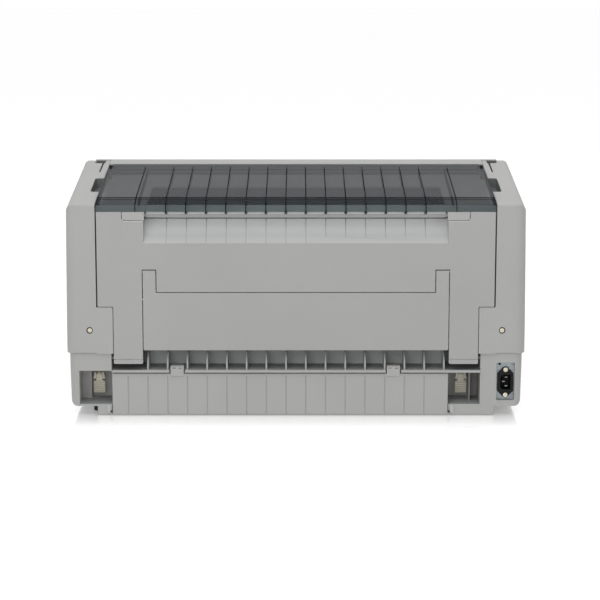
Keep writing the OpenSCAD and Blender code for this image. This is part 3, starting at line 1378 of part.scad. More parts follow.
module exit_cover() color(smoke) {
    difference() {
        slab_x(-exit_x, exit_x, rounded(exit_outer));
        slab_x(-half_w, half_w, rounded(inset(exit_inner, exit_t)));
        both() box([exit_front_x, half_w], [exit_y0 - 1, exit_step_y], [lip_bottom, ridge_h]);
    }
    for (i = [0 : 6], s = [-1, 1]) let (x = s * (rib_first + i * rib_pitch))
        exit_rib(x - rib_t / 2, x + rib_t / 2, rib_front, rib_deep, lip_bottom - 2);
    both() exit_rib(end_rib_x - rib_t / 2, end_rib_x + rib_t / 2, rib_front, rib_deep, lip_bottom + 2);
    both() exit_rib(exit_x - exit_t, exit_x, exit_step_y, 10, lip_bottom + 1);
    both() {
        box([exit_front_x - 4, exit_front_x], [hinge_y - 8, hinge_y + 8],
            [hinge_z - 5, exit_top(hinge_y + 8) - 1]);
        rod_x(exit_front_x - 1, tower_x + wall + 0.2, hinge_y, hinge_z, hinge_pin_r);
    }
}

strip_y = exit_y0 - strip_gap;
strip_h = exit_front_h + 0.2;
panel_low_y = front_y + 0.6;
panel_low_z = front_h + 1.2;
knee_y = front_y + knee_in;
front_slope = (knee_h - panel_low_z) / (knee_y - panel_low_y);
strip_slope = (ridge_h - strip_h) / (strip_y - ridge_y);
front_outer = [
    [panel_low_y, panel_low_z, 0], [strip_y, panel_low_z, 0], [strip_y, strip_h, 0], [ridge_y, ridge_h, 6],
    [knee_y, knee_h, 6]
];
front_inner = [
    [panel_low_y - 9, panel_low_z - 9 * front_slope, 0], [strip_y + 9, panel_low_z - 9 * front_slope, 0],
    [strip_y + 9, strip_h - 9 * strip_slope, 0], [ridge_y, ridge_h, 6], [knee_y, knee_h, 6]
];
window_z = [knee_h + 15, ridge_h - 22];

module front_band() difference() {
    slab_x(-narrow_x + 0.7, narrow_x - 0.7, rounded(front_outer));
    slab_x(-half_w, half_w, rounded(inset(front_inner, panel_t)));
    both() box([tower_x - 0.8, half_w], [narrow_y - 1.6, 0], [0, ridge_h * 2]);
}

module front_cover() color(case_grey) {
    difference() {
        front_band();
        box([-window_x, window_x], [front_y, ridge_y], window_z);
    }
    both() difference() {
        intersection() {
            slab_x(slit_x0 + 0.4, slit_x0 + 0.4 + arm_t, rounded([
                [pivot_y + 6, pivot_z - 6, 5.9], [pivot_y + 6, pivot_z + 6, 5.9],
                [narrow_y - 18, pivot_z + 8, 0],
                [narrow_y - 18, pivot_z - 6, 0]
            ]));
            slab_x(0, half_w, rounded([
                for (p = front_outer) [p[0] + (p[0] > ridge_y ? 60 : 0), p[1], p[2]]
            ]));
        }
        rod_x(0, half_w, pivot_y, pivot_z, 3 + run_gap);
    }
}

module front_window() color(smoke) intersection() {
    front_band();
    box([-window_x, window_x], [front_y, ridge_y], window_z);
}

module front_lower_cover() color(cover_grey) {
    difference() {
        slab_y(front_y, front_y + wall, frame_rect(-door_x, door_x, door_bottom, door_top, 1));
        slab_y(front_y - 1, front_y + 1.5, frame_rect(-40, 40, door_top - 16, door_top - 6, 3));
    }
    both() rod_x(door_x - 1, door_x + 6, door_pin_y, door_pin_z, light_pin_r);
}

module lower_rear_cover() color(case_grey) difference() {
    union() {
        box([lower_b, lower_a], [base_y - wall, base_y], [lower_bottom, lower_top]);
        for (c = [catch_a, catch_b]) {
            box([c - catch_w / 2, c + catch_w / 2], [base_y - 12, base_y + 1.5],
                [lower_top - 4, shelf_h + catch_rise]);
        }
        rod_x(lower_a - 1, lower_a + 6, lower_pin_y, lower_pin_z, light_pin_r);
        rod_x(lower_b - 6, lower_b + 1, lower_pin_y, lower_pin_z, light_pin_r);
    }
    for (i = [0 : 15]) let (x = rib_pitch * 8.5 - i * rib_pitch)
        box([x - 0.6, x + 0.6], [base_y - 0.6, base_y + 0.5], [lower_bottom - 1, lower_top - 4.5]);
    for (c = [catch_a, catch_b], s = [-1, 1])
        box([c + s * 5 - 2.5, c + s * 5 + 2.5], [base_y - 0.5, base_y + 2], [shelf_h + 2, shelf_h + 4]);
}

lower_case();
upper_case();
rubber_feet();
case_screws();
exit_paper_guide();
rear_paper_guide();
front_paper_guide();
lever_brackets();
inlet_plate();
mains_inlet();
base_plate();
side_frame_left();
side_frame_right();
guide_shafts();
shaft_bushes();
frame_brackets();
feed_motor();
carriage_motor();
toothed_belt();
ribbon_cartridge();
main_board();
interface_sockets();
power_supply();
fan_housing();
panel_bezel();
panel_display();
panel_board();
switch_housing();
rear_cover();
rear_flap();
exit_cover();
front_cover();
front_window();
front_lower_cover();
lower_rear_cover();
lock_lever_left();
lock_lever_right();
platen_roller();
platen_shaft();
platen_gear();
idler_gear();
motor_pinion();
transfer_gear();
tractor_shaft();
tractor_gear();
tractor_left();
tractor_right();
tractor_door_left();
tractor_door_right();
carriage();
print_head();
drive_pulley();
idler_pulley();
ribbon_knob();
fan_rotor();
power_switch();
button_pause();
button_load();
button_feed();
button_tear();
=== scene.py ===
# %% [markdown]
# # A wide-carriage dot matrix printer, seen from behind
# The printer's solid parts are made elsewhere, to size, and are loaded here as a fixed frame.
# This script gives every part its finish, adds the small moulded and pressed details that are
# easier to shape in Blender than in a solid modeller, and sets up a plain studio around it.
# The printer stands on z = 0, its front faces -Y and its rear faces +Y. Blender's lengths are in
# metres, so a size in millimetres is written with `mm` behind it. A few tests and sections are in
# plain millimetres, and say so.

import json
import math

import bmesh
import bpy
from mathutils import Matrix, Vector
from mathutils.bvhtree import BVHTree


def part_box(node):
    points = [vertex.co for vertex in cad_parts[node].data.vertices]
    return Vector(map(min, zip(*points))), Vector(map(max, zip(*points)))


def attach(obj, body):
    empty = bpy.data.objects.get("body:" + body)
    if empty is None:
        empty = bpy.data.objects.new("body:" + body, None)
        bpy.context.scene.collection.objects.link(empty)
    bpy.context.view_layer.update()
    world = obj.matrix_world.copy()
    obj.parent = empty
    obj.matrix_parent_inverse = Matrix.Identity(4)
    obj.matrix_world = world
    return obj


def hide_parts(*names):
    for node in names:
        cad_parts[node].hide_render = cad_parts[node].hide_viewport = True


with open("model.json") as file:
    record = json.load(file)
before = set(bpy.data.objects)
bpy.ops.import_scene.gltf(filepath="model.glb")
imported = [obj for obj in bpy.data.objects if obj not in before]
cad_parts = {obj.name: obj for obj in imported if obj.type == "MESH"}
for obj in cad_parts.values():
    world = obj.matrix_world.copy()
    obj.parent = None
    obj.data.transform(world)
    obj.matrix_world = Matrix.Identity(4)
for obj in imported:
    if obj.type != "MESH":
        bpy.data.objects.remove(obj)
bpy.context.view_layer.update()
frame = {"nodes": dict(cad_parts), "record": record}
nodes = frame["nodes"]
mm = 0.001

# %% [markdown]
# The camera stands behind the printer and a little above it, with a long lens: the sides of the
# towers barely converge. It looks exactly along the printer's depth, tipped down by about 11
# degrees, and stands a few millimetres to one side of the middle. A constraint could aim it at the
# printer, but its turn is set directly, so that the view never shifts.

# %% Camera
CAMERA_PLACE = Vector((-0.0063, 3.3699, 0.7909))
CAMERA_TIP = math.radians(10.83)
LENS = 126.24
SENSOR_WIDTH = 36

camera_data = bpy.data.cameras.new("camera")
camera_data.lens = LENS
camera_data.sensor_width = SENSOR_WIDTH
camera = bpy.data.objects.new("camera", camera_data)
camera.location = CAMERA_PLACE
camera.rotation_euler = (math.pi / 2 - CAMERA_TIP, 0, math.pi)
bpy.context.scene.collection.objects.link(camera)
bpy.context.scene.camera = camera
print("camera", LENS, "mm lens, tipped", round(math.degrees(CAMERA_TIP), 2), "degrees")

# %% [markdown]
# Colours are written as they look on a screen, from 0 to 255, and changed to the linear values
# that shader sockets expect. `Finish` starts a material with one shader, and its methods add what
# most finishes share: a fine moulded grain, slow changes of tone, and grime in the roughness. Each
# pattern is a noise in the part's own coordinates, so it moves with the part.

# %% Helpers for materials
def colour(red, green, blue):
    """A screen colour from 0 to 255 as a shader's linear colour."""
    def linear(v):
        v /= 255
        return v / 12.92 if v <= 0.04045 else ((v + 0.055) / 1.055) ** 2.4
    return (linear(red), linear(green), linear(blue), 1)


class Finish:
    """A material with one Principled shader, and short ways to add nodes to it."""

    def __init__(self, name, base, roughness, **sockets):
        self.material = bpy.data.materials.new(name)
        self.material.use_nodes = True
        self.tree = self.material.node_tree
        self.shader = self.tree.nodes["Principled BSDF"]
        self.base = base
        self.set(Base_Color=base, Roughness=roughness, **sockets)
        self.place = self.add("ShaderNodeTexCoord").outputs["Object"]

    def set(self, **sockets):
        """Sets plain values on the shader; a socket's name has _ where it shows a space."""
        for name, value in sockets.items():
            self.shader.inputs[name.replace("_", " ")].default_value = value

    def add(self, kind, **settings):
        """A new node, with its own settings and the values of its sockets by name."""
        node = self.tree.nodes.new(kind)
        for name, value in settings.items():
            if name in node.bl_rna.properties:
                setattr(node, name, value)
            else:
                node.inputs[name.replace("_", " ")].default_value = value
        return node

    def link(self, out, into):
        self.tree.links.new(out, into)

    def noise(self, scale, detail=2.0, stretch=None):
        """A value from a noise of some scale, drawn out along an axis where it is stretched."""
        node = self.add("ShaderNodeTexNoise", Scale=scale, Detail=detail)
        place = self.place
        if stretch:
            mapping = self.add("ShaderNodeMapping")
            mapping.inputs["Scale"].default_value = stretch
            self.link(place, mapping.inputs["Vector"])
            place = mapping.outputs["Vector"]
        self.link(place, node.inputs["Vector"])
        return node.outputs["Fac"]

    def ramp(self, value, low, high, start=0.3, end=0.7):
        """Changes a value from the range start to end into the range low to high."""
        node = self.add("ShaderNodeMapRange")
        for name, v in zip(("From Min", "From Max", "To Min", "To Max"), (start, end, low, high)):
            node.inputs[name].default_value = v
        self.link(value, node.inputs["Value"])
        return node.outputs["Result"]

    def mixed(self, value):
        """Puts a mix of two colours on the base colour, and gives the sockets of the two."""
        node = self.add("ShaderNodeMix", data_type="RGBA")
        self.link(value, node.inputs["Factor"])
        self.link(next(s for s in node.outputs if s.type == "RGBA"), self.shader.inputs["Base Color"])
        return [s for s in node.inputs if s.type == "RGBA"]

    def tone(self, value, amount=0.06):
        """Mixes the base colour with a darker one, by a value from 0 to 1."""
        first, second = self.mixed(value)
        first.default_value = self.base
        second.default_value = [c * (1 - amount) for c in self.base[:3]] + [1]

    def fade(self, low, high, upper):
        """Fades the colour to another one between two heights, to paint a highlight."""
        lower = self.shader.inputs["Base Color"].links[0].from_socket
        split = self.add("ShaderNodeSeparateXYZ")
        self.link(self.place, split.inputs[0])
        first, second = self.mixed(self.ramp(split.outputs["Z"], 0, 1, low, high))
        self.link(lower, first)
        second.default_value = upper

    def rough(self, value, low, high):
        """Lets the roughness wander between two values."""
        self.link(self.ramp(value, low, high), self.shader.inputs["Roughness"])

    def bump(self, value, strength, height):
        """Gives the surface a fine relief."""
        node = self.add("ShaderNodeBump", Strength=strength, Distance=height)
        self.link(value, node.inputs["Height"])
        self.link(node.outputs["Normal"], self.shader.inputs["Normal"])


print("helpers ready")

# %% [markdown]
# The case is moulded in a pale grey plastic with a fine spark-eroded texture, which scatters light
# so softly that it looks matt. A fast noise makes the grain and a slow one shifts the tone a
# little, because no large moulding is quite one colour. An image could be wrapped around each part
# instead, but would need a map of every part. The moving covers are a shade apart. The paper ramp
# is a paler copy, which is painted light, and grows paler still towards its head, a painted
# highlight where light falls on it through the smoked cover. A paler copy for the chute wall and
# the paper lip is painted light, and the darker copies for the ramp's grooves, the finger pockets,
# the screw wells and the floors in recesses are painted shade.

# %% Case and cover plastic
MOTTLE_SCALE = 6.0
GRAIN_SCALE = 900.0
GRAIN_DEPTH = 0.08 * mm


def moulded(name, base, roughness=0.55, grain=GRAIN_SCALE, mottle=0.05, pale=None, **sockets):
    """A matt moulded plastic; `pale` gives two heights and the colour at the upper one, a painted highlight.
    """
    finish = Finish(name, base, roughness, **sockets)
    finish.tone(finish.ramp(finish.noise(MOTTLE_SCALE, 4.0), 0.0, 1.0), mottle)
    if pale:
        finish.fade(*pale)
    grain_noise = finish.noise(grain, 3.0)
    finish.rough(grain_noise, roughness - 0.05, roughness + 0.08)
    finish.bump(grain_noise, 0.35, GRAIN_DEPTH)
    return finish.material


case_plastic = moulded("case_plastic", colour(179, 179, 177), Specular_IOR_Level=0.4)
cover_plastic = moulded("cover_plastic", colour(176, 176, 175), Specular_IOR_Level=0.4)
# The ramp's plastic is a paler copy of the grey plastic, which is painted light, and grows paler still
# towards the ramp's head, a painted highlight.
ramp_plastic_painted_light = moulded("ramp_plastic_painted_light", colour(187, 188, 188), 0.5, Specular_IOR_Level=0.4,
                       pale=(282 * mm, 305 * mm, colour(240, 241, 241)))
# The ramp's grooves are darker than the ramp, which is painted shade, and duller.
ramp_groove_painted_shade = moulded("ramp_groove_painted_shade", colour(170, 174, 175), 0.6, Specular_IOR_Level=0.2)
# Darker plastic for floors deep in a recess, which is painted shade.
floor_plastic_painted_shade = moulded("floor_plastic_painted_shade", colour(150, 153, 153), 0.6, Specular_IOR_Level=0.2)
grip_plastic = moulded("grip_plastic", colour(214, 209, 194), 0.5, mottle=0.1)
# A paler plastic for the chute wall and the paper lip, which is painted light.
chute_plastic_painted_light = moulded("chute_plastic_painted_light", colour(208, 211, 211), 0.55, Specular_IOR_Level=0.3)
socket_shade = moulded("socket_shade", colour(62, 62, 60), 0.7, Specular_IOR_Level=0.1)
# Darker plastic for the finger pockets, which is painted shade.
pocket_plastic_painted_shade = moulded("pocket_plastic_painted_shade", colour(112, 117, 116), 0.6, Specular_IOR_Level=0.2)
panel_plastic = moulded("panel_plastic", colour(96, 98, 100), 0.45)
button_plastic = moulded("button_plastic", colour(206, 206, 200), 0.4)
lever_plastic = moulded("lever_plastic", colour(248, 244, 226), 0.42, mottle=0.06)
gear_plastic = moulded("gear_plastic", colour(222, 218, 202), 0.35, mottle=0.04)
black_plastic = moulded("black_plastic", colour(27, 27, 29), 0.42, mottle=0.15)
socket_black = moulded("socket_black", colour(18, 18, 20), 0.5, mottle=0.15, Specular_IOR_Level=0.2)
knob_plastic = moulded("knob_plastic", colour(50, 84, 150), 0.38)
print("plastics made")

# %% [markdown]
# The exit cover and the front window are smoked acrylic. A glass shader would bend the light at
# every wall and need many bounces; walls as thin as these hardly bend it, so a smooth, see-through
# shader is enough: part of the light passes straight on, and each extra wall that the eye crosses
# is darker. Smears from hands and paper make it a little rougher in places. The cover has a denser
# finish where it is seen edge on, and a paler, less see-through one on its lip, which is painted
# light, with random streaks of tone along the lip.

# %% Smoked acrylic and the display
SMEAR_SCALE = 40.0


def acrylic(name, base, alpha, shine, smooth, smeared):
    """See-through plastic, with its roughness where it is clean and where it is smeared."""
    finish = Finish(name, base, (smooth + smeared) / 2, Alpha=alpha, Specular_IOR_Level=shine)
    finish.rough(finish.noise(SMEAR_SCALE, 3.0), smooth, smeared)
    return finish.material


def streaked(name, base, roughness, scale, amount, stretch=None, **sockets):
    """A smooth finish with slow changes of tone, drawn out along an axis where it is stretched."""
    finish = Finish(name, base, roughness, **sockets)
    finish.tone(finish.ramp(finish.noise(scale, 2.0 if stretch else 3.0, stretch), 0, 1), amount)
    return finish.material


smoked_acrylic = acrylic("smoked_acrylic", colour(52, 58, 62), 0.42, 0.06, 0.09, 0.16)
dense_acrylic = acrylic("dense_acrylic", colour(15, 18, 20), 0.96, 0.0, 0.4, 0.6)
# The lip's smoke is paler and less see-through, which is painted light; its streaks are random tone.
lip_acrylic_painted_light = streaked("lip_acrylic_painted_light", colour(102, 112, 114), 0.25, 9.0, 0.2, (1, 0.1, 0.1), Alpha=0.74,
                       Specular_IOR_Level=0.1)
window_acrylic = acrylic("window_acrylic", colour(44, 43, 40), 0.88, 0.3, 0.12, 0.2)
display_front = streaked("display_front", colour(96, 112, 88), 0.18, 30.0, 0.1, Coat_Weight=0.4)
print("acrylics made")

# %% [markdown]
# Inside, the frame is zinc-plated sheet, the shafts are ground bright steel, and the platen, belt
# and feet are rubber. Sheet and shafts show fine lines along their grain. An anisotropic shader
# could draw them, but needs a direction on every part, so a noise is drawn out along the grain.

# %% Metals and rubbers
METAL_GRAIN = 0.05 * mm
RUBBER_GRAIN = 0.1 * mm


def metal(name, base, roughness, stretch=(1, 1, 1), scale=120.0, wear=0.12):
    """A metal with a grain, drawn out where it was rolled or turned."""
    finish = Finish(name, base, roughness, Metallic=1.0)
    grain_noise = finish.noise(scale, 4.0, stretch)
    finish.tone(finish.ramp(grain_noise, 0, 1), wear)
    finish.rough(grain_noise, roughness * 0.7, min(roughness * 1.4, 1))
    finish.bump(grain_noise, 0.2, METAL_GRAIN)
    return finish.material


def rubber(name, base, roughness=0.75):
    """A dull rubber with dust in its surface."""
    finish = Finish(name, base, roughness, Specular_IOR_Level=0.3)
    dust = finish.noise(160.0, 5.0)
    finish.tone(finish.ramp(dust, 0, 1), 0.25)
    finish.rough(dust, roughness - 0.12, roughness + 0.1)
    finish.bump(dust, 0.3, RUBBER_GRAIN)
    return finish.material


sheet_steel = metal("sheet_steel", colour(196, 202, 206), 0.34, (1, 1, 6))
shaft_steel = metal("shaft_steel", colour(214, 214, 216), 0.16, (0.2, 8, 8))
bronze = metal("bronze", colour(176, 132, 84), 0.4)
brass = metal("brass", colour(204, 172, 96), 0.28)
pin_metal = metal("pin_metal", colour(146, 146, 144), 0.55)
plate_zinc = metal("plate_zinc", colour(158, 166, 169), 0.55, (1, 1, 6))
screw_nickel = metal("screw_nickel", colour(214, 208, 190), 0.3)
head_metal = metal("head_metal", colour(150, 151, 152), 0.42)
pulley_metal = metal("pulley_metal", colour(196, 196, 198), 0.3)
motor_black = moulded("motor_black", colour(40, 40, 43), 0.35, grain=400.0)
foot_rubber = rubber("foot_rubber", colour(46, 46, 47))
platen_rubber = rubber("platen_rubber", colour(44, 45, 46), 0.6)
belt_rubber = rubber("belt_rubber", colour(36, 36, 37))
board_green = moulded("board_green", colour(38, 96, 62), 0.35, grain=300.0)
print("metals and rubbers made")

# %% [markdown]
# Every part names a slot in the record, such as `case_grey`, and each slot has one finish. Parts of
# one kind then look alike without any list of parts. An object can hold several materials, one for
# each face; here a part gets the one of its slot, and faces that differ get theirs further on.

# %% Give every part its finish
FINISHES = {
    "case_grey": case_plastic, "cover_grey": cover_plastic, "smoked": smoked_acrylic, "beige": lever_plastic,
    "black_plastic": black_plastic, "dark_rubber": foot_rubber, "platen_rubber": platen_rubber,
    "sheet_steel": sheet_steel, "shaft_steel": shaft_steel, "bronze": bronze, "gear_plastic": gear_plastic,
    "brass": brass, "motor_black": motor_black, "belt_rubber": belt_rubber, "board_green": board_green,
    "screw_nickel": screw_nickel, "head_metal": head_metal, "pulley_metal": pulley_metal,
    "panel_grey": panel_plastic, "display": display_front, "button_grey": button_plastic,
    "knob_blue": knob_plastic,
}
slot_of = {p["node"]: p["material_slot"] for p in frame["record"]["subparts"]}
for name, part in nodes.items():
    part.data.materials.clear()
    part.data.materials.append(FINISHES[slot_of[name]])
print("finished", len(nodes), "parts in", len(FINISHES), "finishes")

# %% [markdown]
# Real mouldings and pressed sheets have no knife edges: a small round catches the light as a thin
# bright line, and that line tells the eye what a part is made of. A solid modeller could round
# them, but each round costs it many faces, so they are made here. A copy of a part is welded,
# its triangles are joined in pairs, and every sharp edge is bevelled with two segments. The faces
# are not joined any further, because a large face with cut-outs can fold over itself when its
# edges move. Where several edges meet in a tight corner the bevel can throw a point outside the
# part, so the result is measured against the start, and the edges there stay as they were. Each
# new try leaves a wider clearing around such a corner. Nothing may leave the part's own box. An
# edge is sharp when it turns by more than `SHARP`, and a point is astray when it is further from
# the part than `ASTRAY` times the width of the round.

# %% Rounding the edges of a copy
WELD = 0.002 * mm
FLAT = math.radians(0.5)
SKEW = math.radians(60)
SHARP = math.radians(35)
ASTRAY = 0.8
FIRST_CLEARING = 4 * mm
WIDER = 1.15
TRIES = 6


def welded(name):
    """A mesh of one solid part, its loose triangles welded into one skin and joined in pairs."""
    work = bmesh.new()
    work.from_mesh(nodes[name].data)
    bmesh.ops.remove_doubles(work, verts=work.verts, dist=WELD)
    bmesh.ops.join_triangles(work, faces=work.faces, angle_face_threshold=FLAT, angle_shape_threshold=SKEW)
    return work


def bevel(work, edges, width, segments=2, **settings):
    """Rounds some edges of a mesh."""
    bmesh.ops.bevel(work, geom=edges, offset=width, offset_type="OFFSET", affect="EDGES",
                    segments=segments, profile=0.5, material=-1, **settings)


def rounded(start, width):
    """A copy of a mesh with its sharp edges rounded, apart from those around a spoiled corner."""
    skin = BVHTree.FromBMesh(start)
    low = [min(v.co[i] for v in start.verts) for i in range(3)]
    high = [max(v.co[i] for v in start.verts) for i in range(3)]
    clearing = FIRST_CLEARING
    spoiled = []
    for _ in range(TRIES):
        work = start.copy()
        edges = [e for e in work.edges if e.is_manifold and e.calc_face_angle(0) > SHARP
                 and not any((v.co - p).length < clearing for p in spoiled for v in e.verts)]
        bevel(work, edges, width, miter_outer="SHARP", miter_inner="SHARP")
        astray = [v.co.copy() for v in work.verts if skin.find_nearest(v.co)[3] > ASTRAY * width]
        astray += [e.verts[0].co.copy() for e in work.edges if not e.is_manifold]
        if not astray:
            for v in work.verts:
                v.co = [min(max(c, a), b) for c, a, b in zip(v.co, low, high)]
            return work
        spoiled += [skin.find_nearest(p)[0] for p in astray]
        clearing *= WIDER
        work.free()
    return start.copy()


print("edges sharper than", round(math.degrees(SHARP)), "degrees are rounded")

# %% [markdown]
# A finished piece is an object with its finishes, smooth shading that stays crisp at real edges,
# and a body to ride on. Smooth shading alone makes a flat wall look dented beside a small round,
# so the large faces are given more weight. A piece that stands for a solid part rides on that
# part's body, and the part itself is hidden.

# %% Placing a finished piece
CRISP = math.radians(20)
body_of = {node: body for body, names in frame["record"]["behaviour"]["bodies"].items() for node in names}


def place_piece(name, work, body, *finishes):
    """Makes an object from a bmesh, gives it its finishes and lets it ride on a body."""
    mesh = bpy.data.meshes.new(name)
    work.to_mesh(mesh)
    work.free()
    if "custom_normal" in mesh.attributes:
        mesh.attributes.remove(mesh.attributes["custom_normal"])
    mesh.shade_smooth()
    mesh.set_sharp_from_angle(angle=CRISP)
    for finish in finishes:
        mesh.materials.append(finish)
    made = bpy.data.objects.new(name, mesh)
    bpy.context.scene.collection.objects.link(made)
    even = made.modifiers.new("even_shading", "WEIGHTED_NORMAL")
    even.keep_sharp = True
    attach(made, body)
    return made


def stand_in(name, work, *finishes):
    """A finished piece that stands for one solid part."""
    made = place_piece(name + "_moulding", work, body_of[name], *finishes)
    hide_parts(name)
    return made


# %% [markdown]
# The paper ramp at the head of the rear cover has a fine V groove in line with each rib of the
# smoked cover. A boolean could cut it, but leaves splinters on a part that is already rounded.
# Instead the ramp's own face is cut along three lines and the middle one is pushed in.

# %% Grooves on the paper ramp
# The rear wall and the ramp that starts from it, in millimetres
REAR_Y = 191
RAMP_TOE_Z = 271.2
RAMP_HEAD_Z = 305
RAMP_DEPTH = 30
RAMP_BAND = (270, 306)
RAMP_TOE = Vector((0, REAR_Y, RAMP_TOE_Z)) * mm
RAMP_FACING = Vector((0, RAMP_HEAD_Z - RAMP_TOE_Z, RAMP_DEPTH)).normalized()
RIB_PITCH = 30.6 * mm
RIB_PAIRS = 7
rib_places = [side * RIB_PITCH * (i + 0.5) for i in range(RIB_PAIRS) for side in (-1, 1)]
GROOVE_HALF = 0.6 * mm
GROOVE_DEPTH = 0.3 * mm
SAME_WAY = 0.99
ON_PLANE = 0.05 * mm
ON_LINE = 0.01 * mm
TOUCH = 0.001 * mm
ALONG_X = (1, 0, 0)
ALONG_Y = (0, 1, 0)


def on_ramp(p):
    """On the ramp's sloping face."""
    low, high = RAMP_BAND
    return abs((p - RAMP_TOE).dot(RAMP_FACING)) < ON_PLANE and low * mm < p.z < high * mm


def score(work, x):
    """Presses a fine V groove into the paper ramp, from its head to its toe."""
    work.normal_update()
    for place in (x - GROOVE_HALF, x, x + GROOVE_HALF):
        faces = [f for f in work.faces
                 if f.normal.dot(RAMP_FACING) > SAME_WAY and on_ramp(f.calc_center_median())]
        edges = list(dict.fromkeys(e for f in faces for e in f.edges))
        verts = list(dict.fromkeys(v for f in faces for v in f.verts))
        bmesh.ops.bisect_plane(work, geom=verts + edges + faces, dist=TOUCH, plane_co=(place, 0, 0),
                               plane_no=ALONG_X)
    for v in work.verts:
        if abs(v.co.x - x) < ON_LINE and on_ramp(v.co):
            v.co -= GROOVE_DEPTH * RAMP_FACING


print("grooves at", [round(x / mm, 1) for x in sorted(rib_places)])

# %% [markdown]
# The two towers of the upper case are rounder along their upper edge, at the rear and outside,
# where a hand meets them. These edges are picked by where they lie and by the way their two faces
# look, and get a wide bevel before every other edge of the case gets its small one.

# %% Round brows on the towers
# The height of the towers' top at the rear wall, in millimetres, and its rise towards the front
TOWER_HEIGHT = 330.8
TOWER_RISE = 0.1063
TOWER_INNER = 300 * mm
BROW_ROUND = 2.5 * mm
BROW_NEAR = 0.4 * mm
UPWARD = 0.9
UPRIGHT = 0.3
OUTWARD = 0.6


def tower_top(y):
    """Height of the towers' sloping top at a place along the depth, in millimetres."""
    return TOWER_HEIGHT + (REAR_Y - y) * TOWER_RISE


def on_brow(edge):
    """On the upper edge of a tower, between its top and its rear or outer wall."""
    for v in edge.verts:
        if abs(v.co.x) < TOWER_INNER or abs(v.co.z - tower_top(v.co.y / mm) * mm) > BROW_NEAR:
            return False
    if len(edge.link_faces) != 2:
        return False
    top, wall = sorted(edge.link_faces, key=lambda f: -f.normal.z)
    outward = math.copysign(1, edge.verts[0].co.x) * wall.normal.x
    upright = abs(wall.normal.z) < UPRIGHT
    return top.normal.z > UPWARD and upright and max(wall.normal.y, outward) > OUTWARD


def ease_brow(work):
    """Rounds the towers' upper edges more than the rest."""
    work.normal_update()
    brow = [e for e in work.edges if on_brow(e)]
    bevel(work, brow, BROW_ROUND, segments=4, clamp_overlap=True)
    print("towers' brows:", len(brow), "edges")


print("the towers' tops rise by", TOWER_RISE, "mm for each millimetre towards the front")

# %% [markdown]
# Some faces of a part look different from the rest. A deep recess, a screw's well, the shelf and
# the floors seen through low openings are darker, which is painted shade; a groove on the ramp is
# duller, and darker, which is painted shade; the chute wall and the paper ramp are paler, which is
# painted light; the flat of a lever's grip is darker. Paint on a map could show this, but these
# faces have clear borders, so each is given a material of its own. Every test below gets the middle
# of a face, in millimetres, and the way it looks. A later finish in a list wins over an earlier one.

# %% Faces with another finish
# How far a face looks a certain way, from 0 to 1
SLOPING_BACK = 0.4
SLOPING_UP = (0.3, 0.95)
REARWARD = 0.9
LEANING = 0.3
# Places and sizes in millimetres; each pin's place is (x, z), other pairs are two limits
NEAR_RIB = 0.9
BELOW_TOE = 0.2
GROOVE_FROM_WALL = 0.5
SCREW_X = 318
SCREW_Z = 135
SCREW_WELL = 5.6
SCREW_WELL_DEPTH = 3
POCKET_X = (305, 322.5)
POCKET_Y = (18, 111)
POCKET_FLOOR = 320
POCKET_RIM = 0.7
PIN_PLACES = ((-326.5, 45), (-322.5, 52), (-326.5, 59))
PIN_HALF_X = 2.2
PIN_HALF_Z = 1.2
PIN_Y = (170, 181.5)
GRIP_Y = 139.4
GRIP_TOP = 43
SHELF_Z = (60, 82)
SHELF_EDGE = 187
CHUTE_WALL_Y = 150
CHUTE_WALL_Z = 76
LOW_FLOOR_Z = (10, 26)
LOW_FLOOR_Y = (150, 190)


def within(value, limits):
    """Between two limits."""
    return limits[0] < value < limits[1]


def on_slope(at, n):
    """The paper ramp."""
    return within(at.z, RAMP_BAND) and n.y > SLOPING_BACK and within(n.z, SLOPING_UP)


def in_ramp_groove(at, n):
    """The narrow faces on both sides of a groove's line."""
    beside_rib = any(abs(at.x - place / mm) < NEAR_RIB for place in rib_places)
    return beside_rib and RAMP_TOE_Z - BELOW_TOE < at.z < RAMP_BAND[1] and at.y < REAR_Y - GROOVE_FROM_WALL


def in_screw_well(at, n):
    """The round well of a case screw, in the wall below each tower."""
    from_axis = math.hypot(abs(at.x) - SCREW_X, at.z - SCREW_Z)
    return from_axis < SCREW_WELL and at.y > REAR_Y - SCREW_WELL_DEPTH


def in_finger_pocket(at, n):
    """The long pocket in the top of each tower."""
    below_top = POCKET_FLOOR < at.z < tower_top(at.y) - POCKET_RIM
    return below_top and within(abs(at.x), POCKET_X) and within(at.y, POCKET_Y)


def on_pin(at, n):
    """A flat pin in the mains inlet."""
    return within(at.y, PIN_Y) and any(abs(at.x - x) < PIN_HALF_X and abs(at.z - z) < PIN_HALF_Z
                                       for x, z in PIN_PLACES)


def off_pins(at, n):
    return not on_pin(at, n)


def on_grip(at, n):
    """The flat of a lock lever's grip, between its ridges."""
    return n.y > REARWARD and at.y < GRIP_Y and at.z < GRIP_TOP


def on_shelf(at, n):
    """The level shelf at the foot of the rear paper guide."""
    return n.z > UPWARD and within(at.z, SHELF_Z) and at.y < SHELF_EDGE


def on_chute_wall(at, n):
    """The wall behind the ribs of the rear paper guide."""
    return n.y > LEANING and at.y < CHUTE_WALL_Y and at.z > CHUTE_WALL_Z


def on_low_floor(at, n):
    """The case's floor, as seen through the openings low in its rear wall."""
    return n.z > UPWARD and within(at.z, LOW_FLOOR_Z) and within(at.y, LOW_FLOOR_Y)


def anywhere(at, n):
    return True


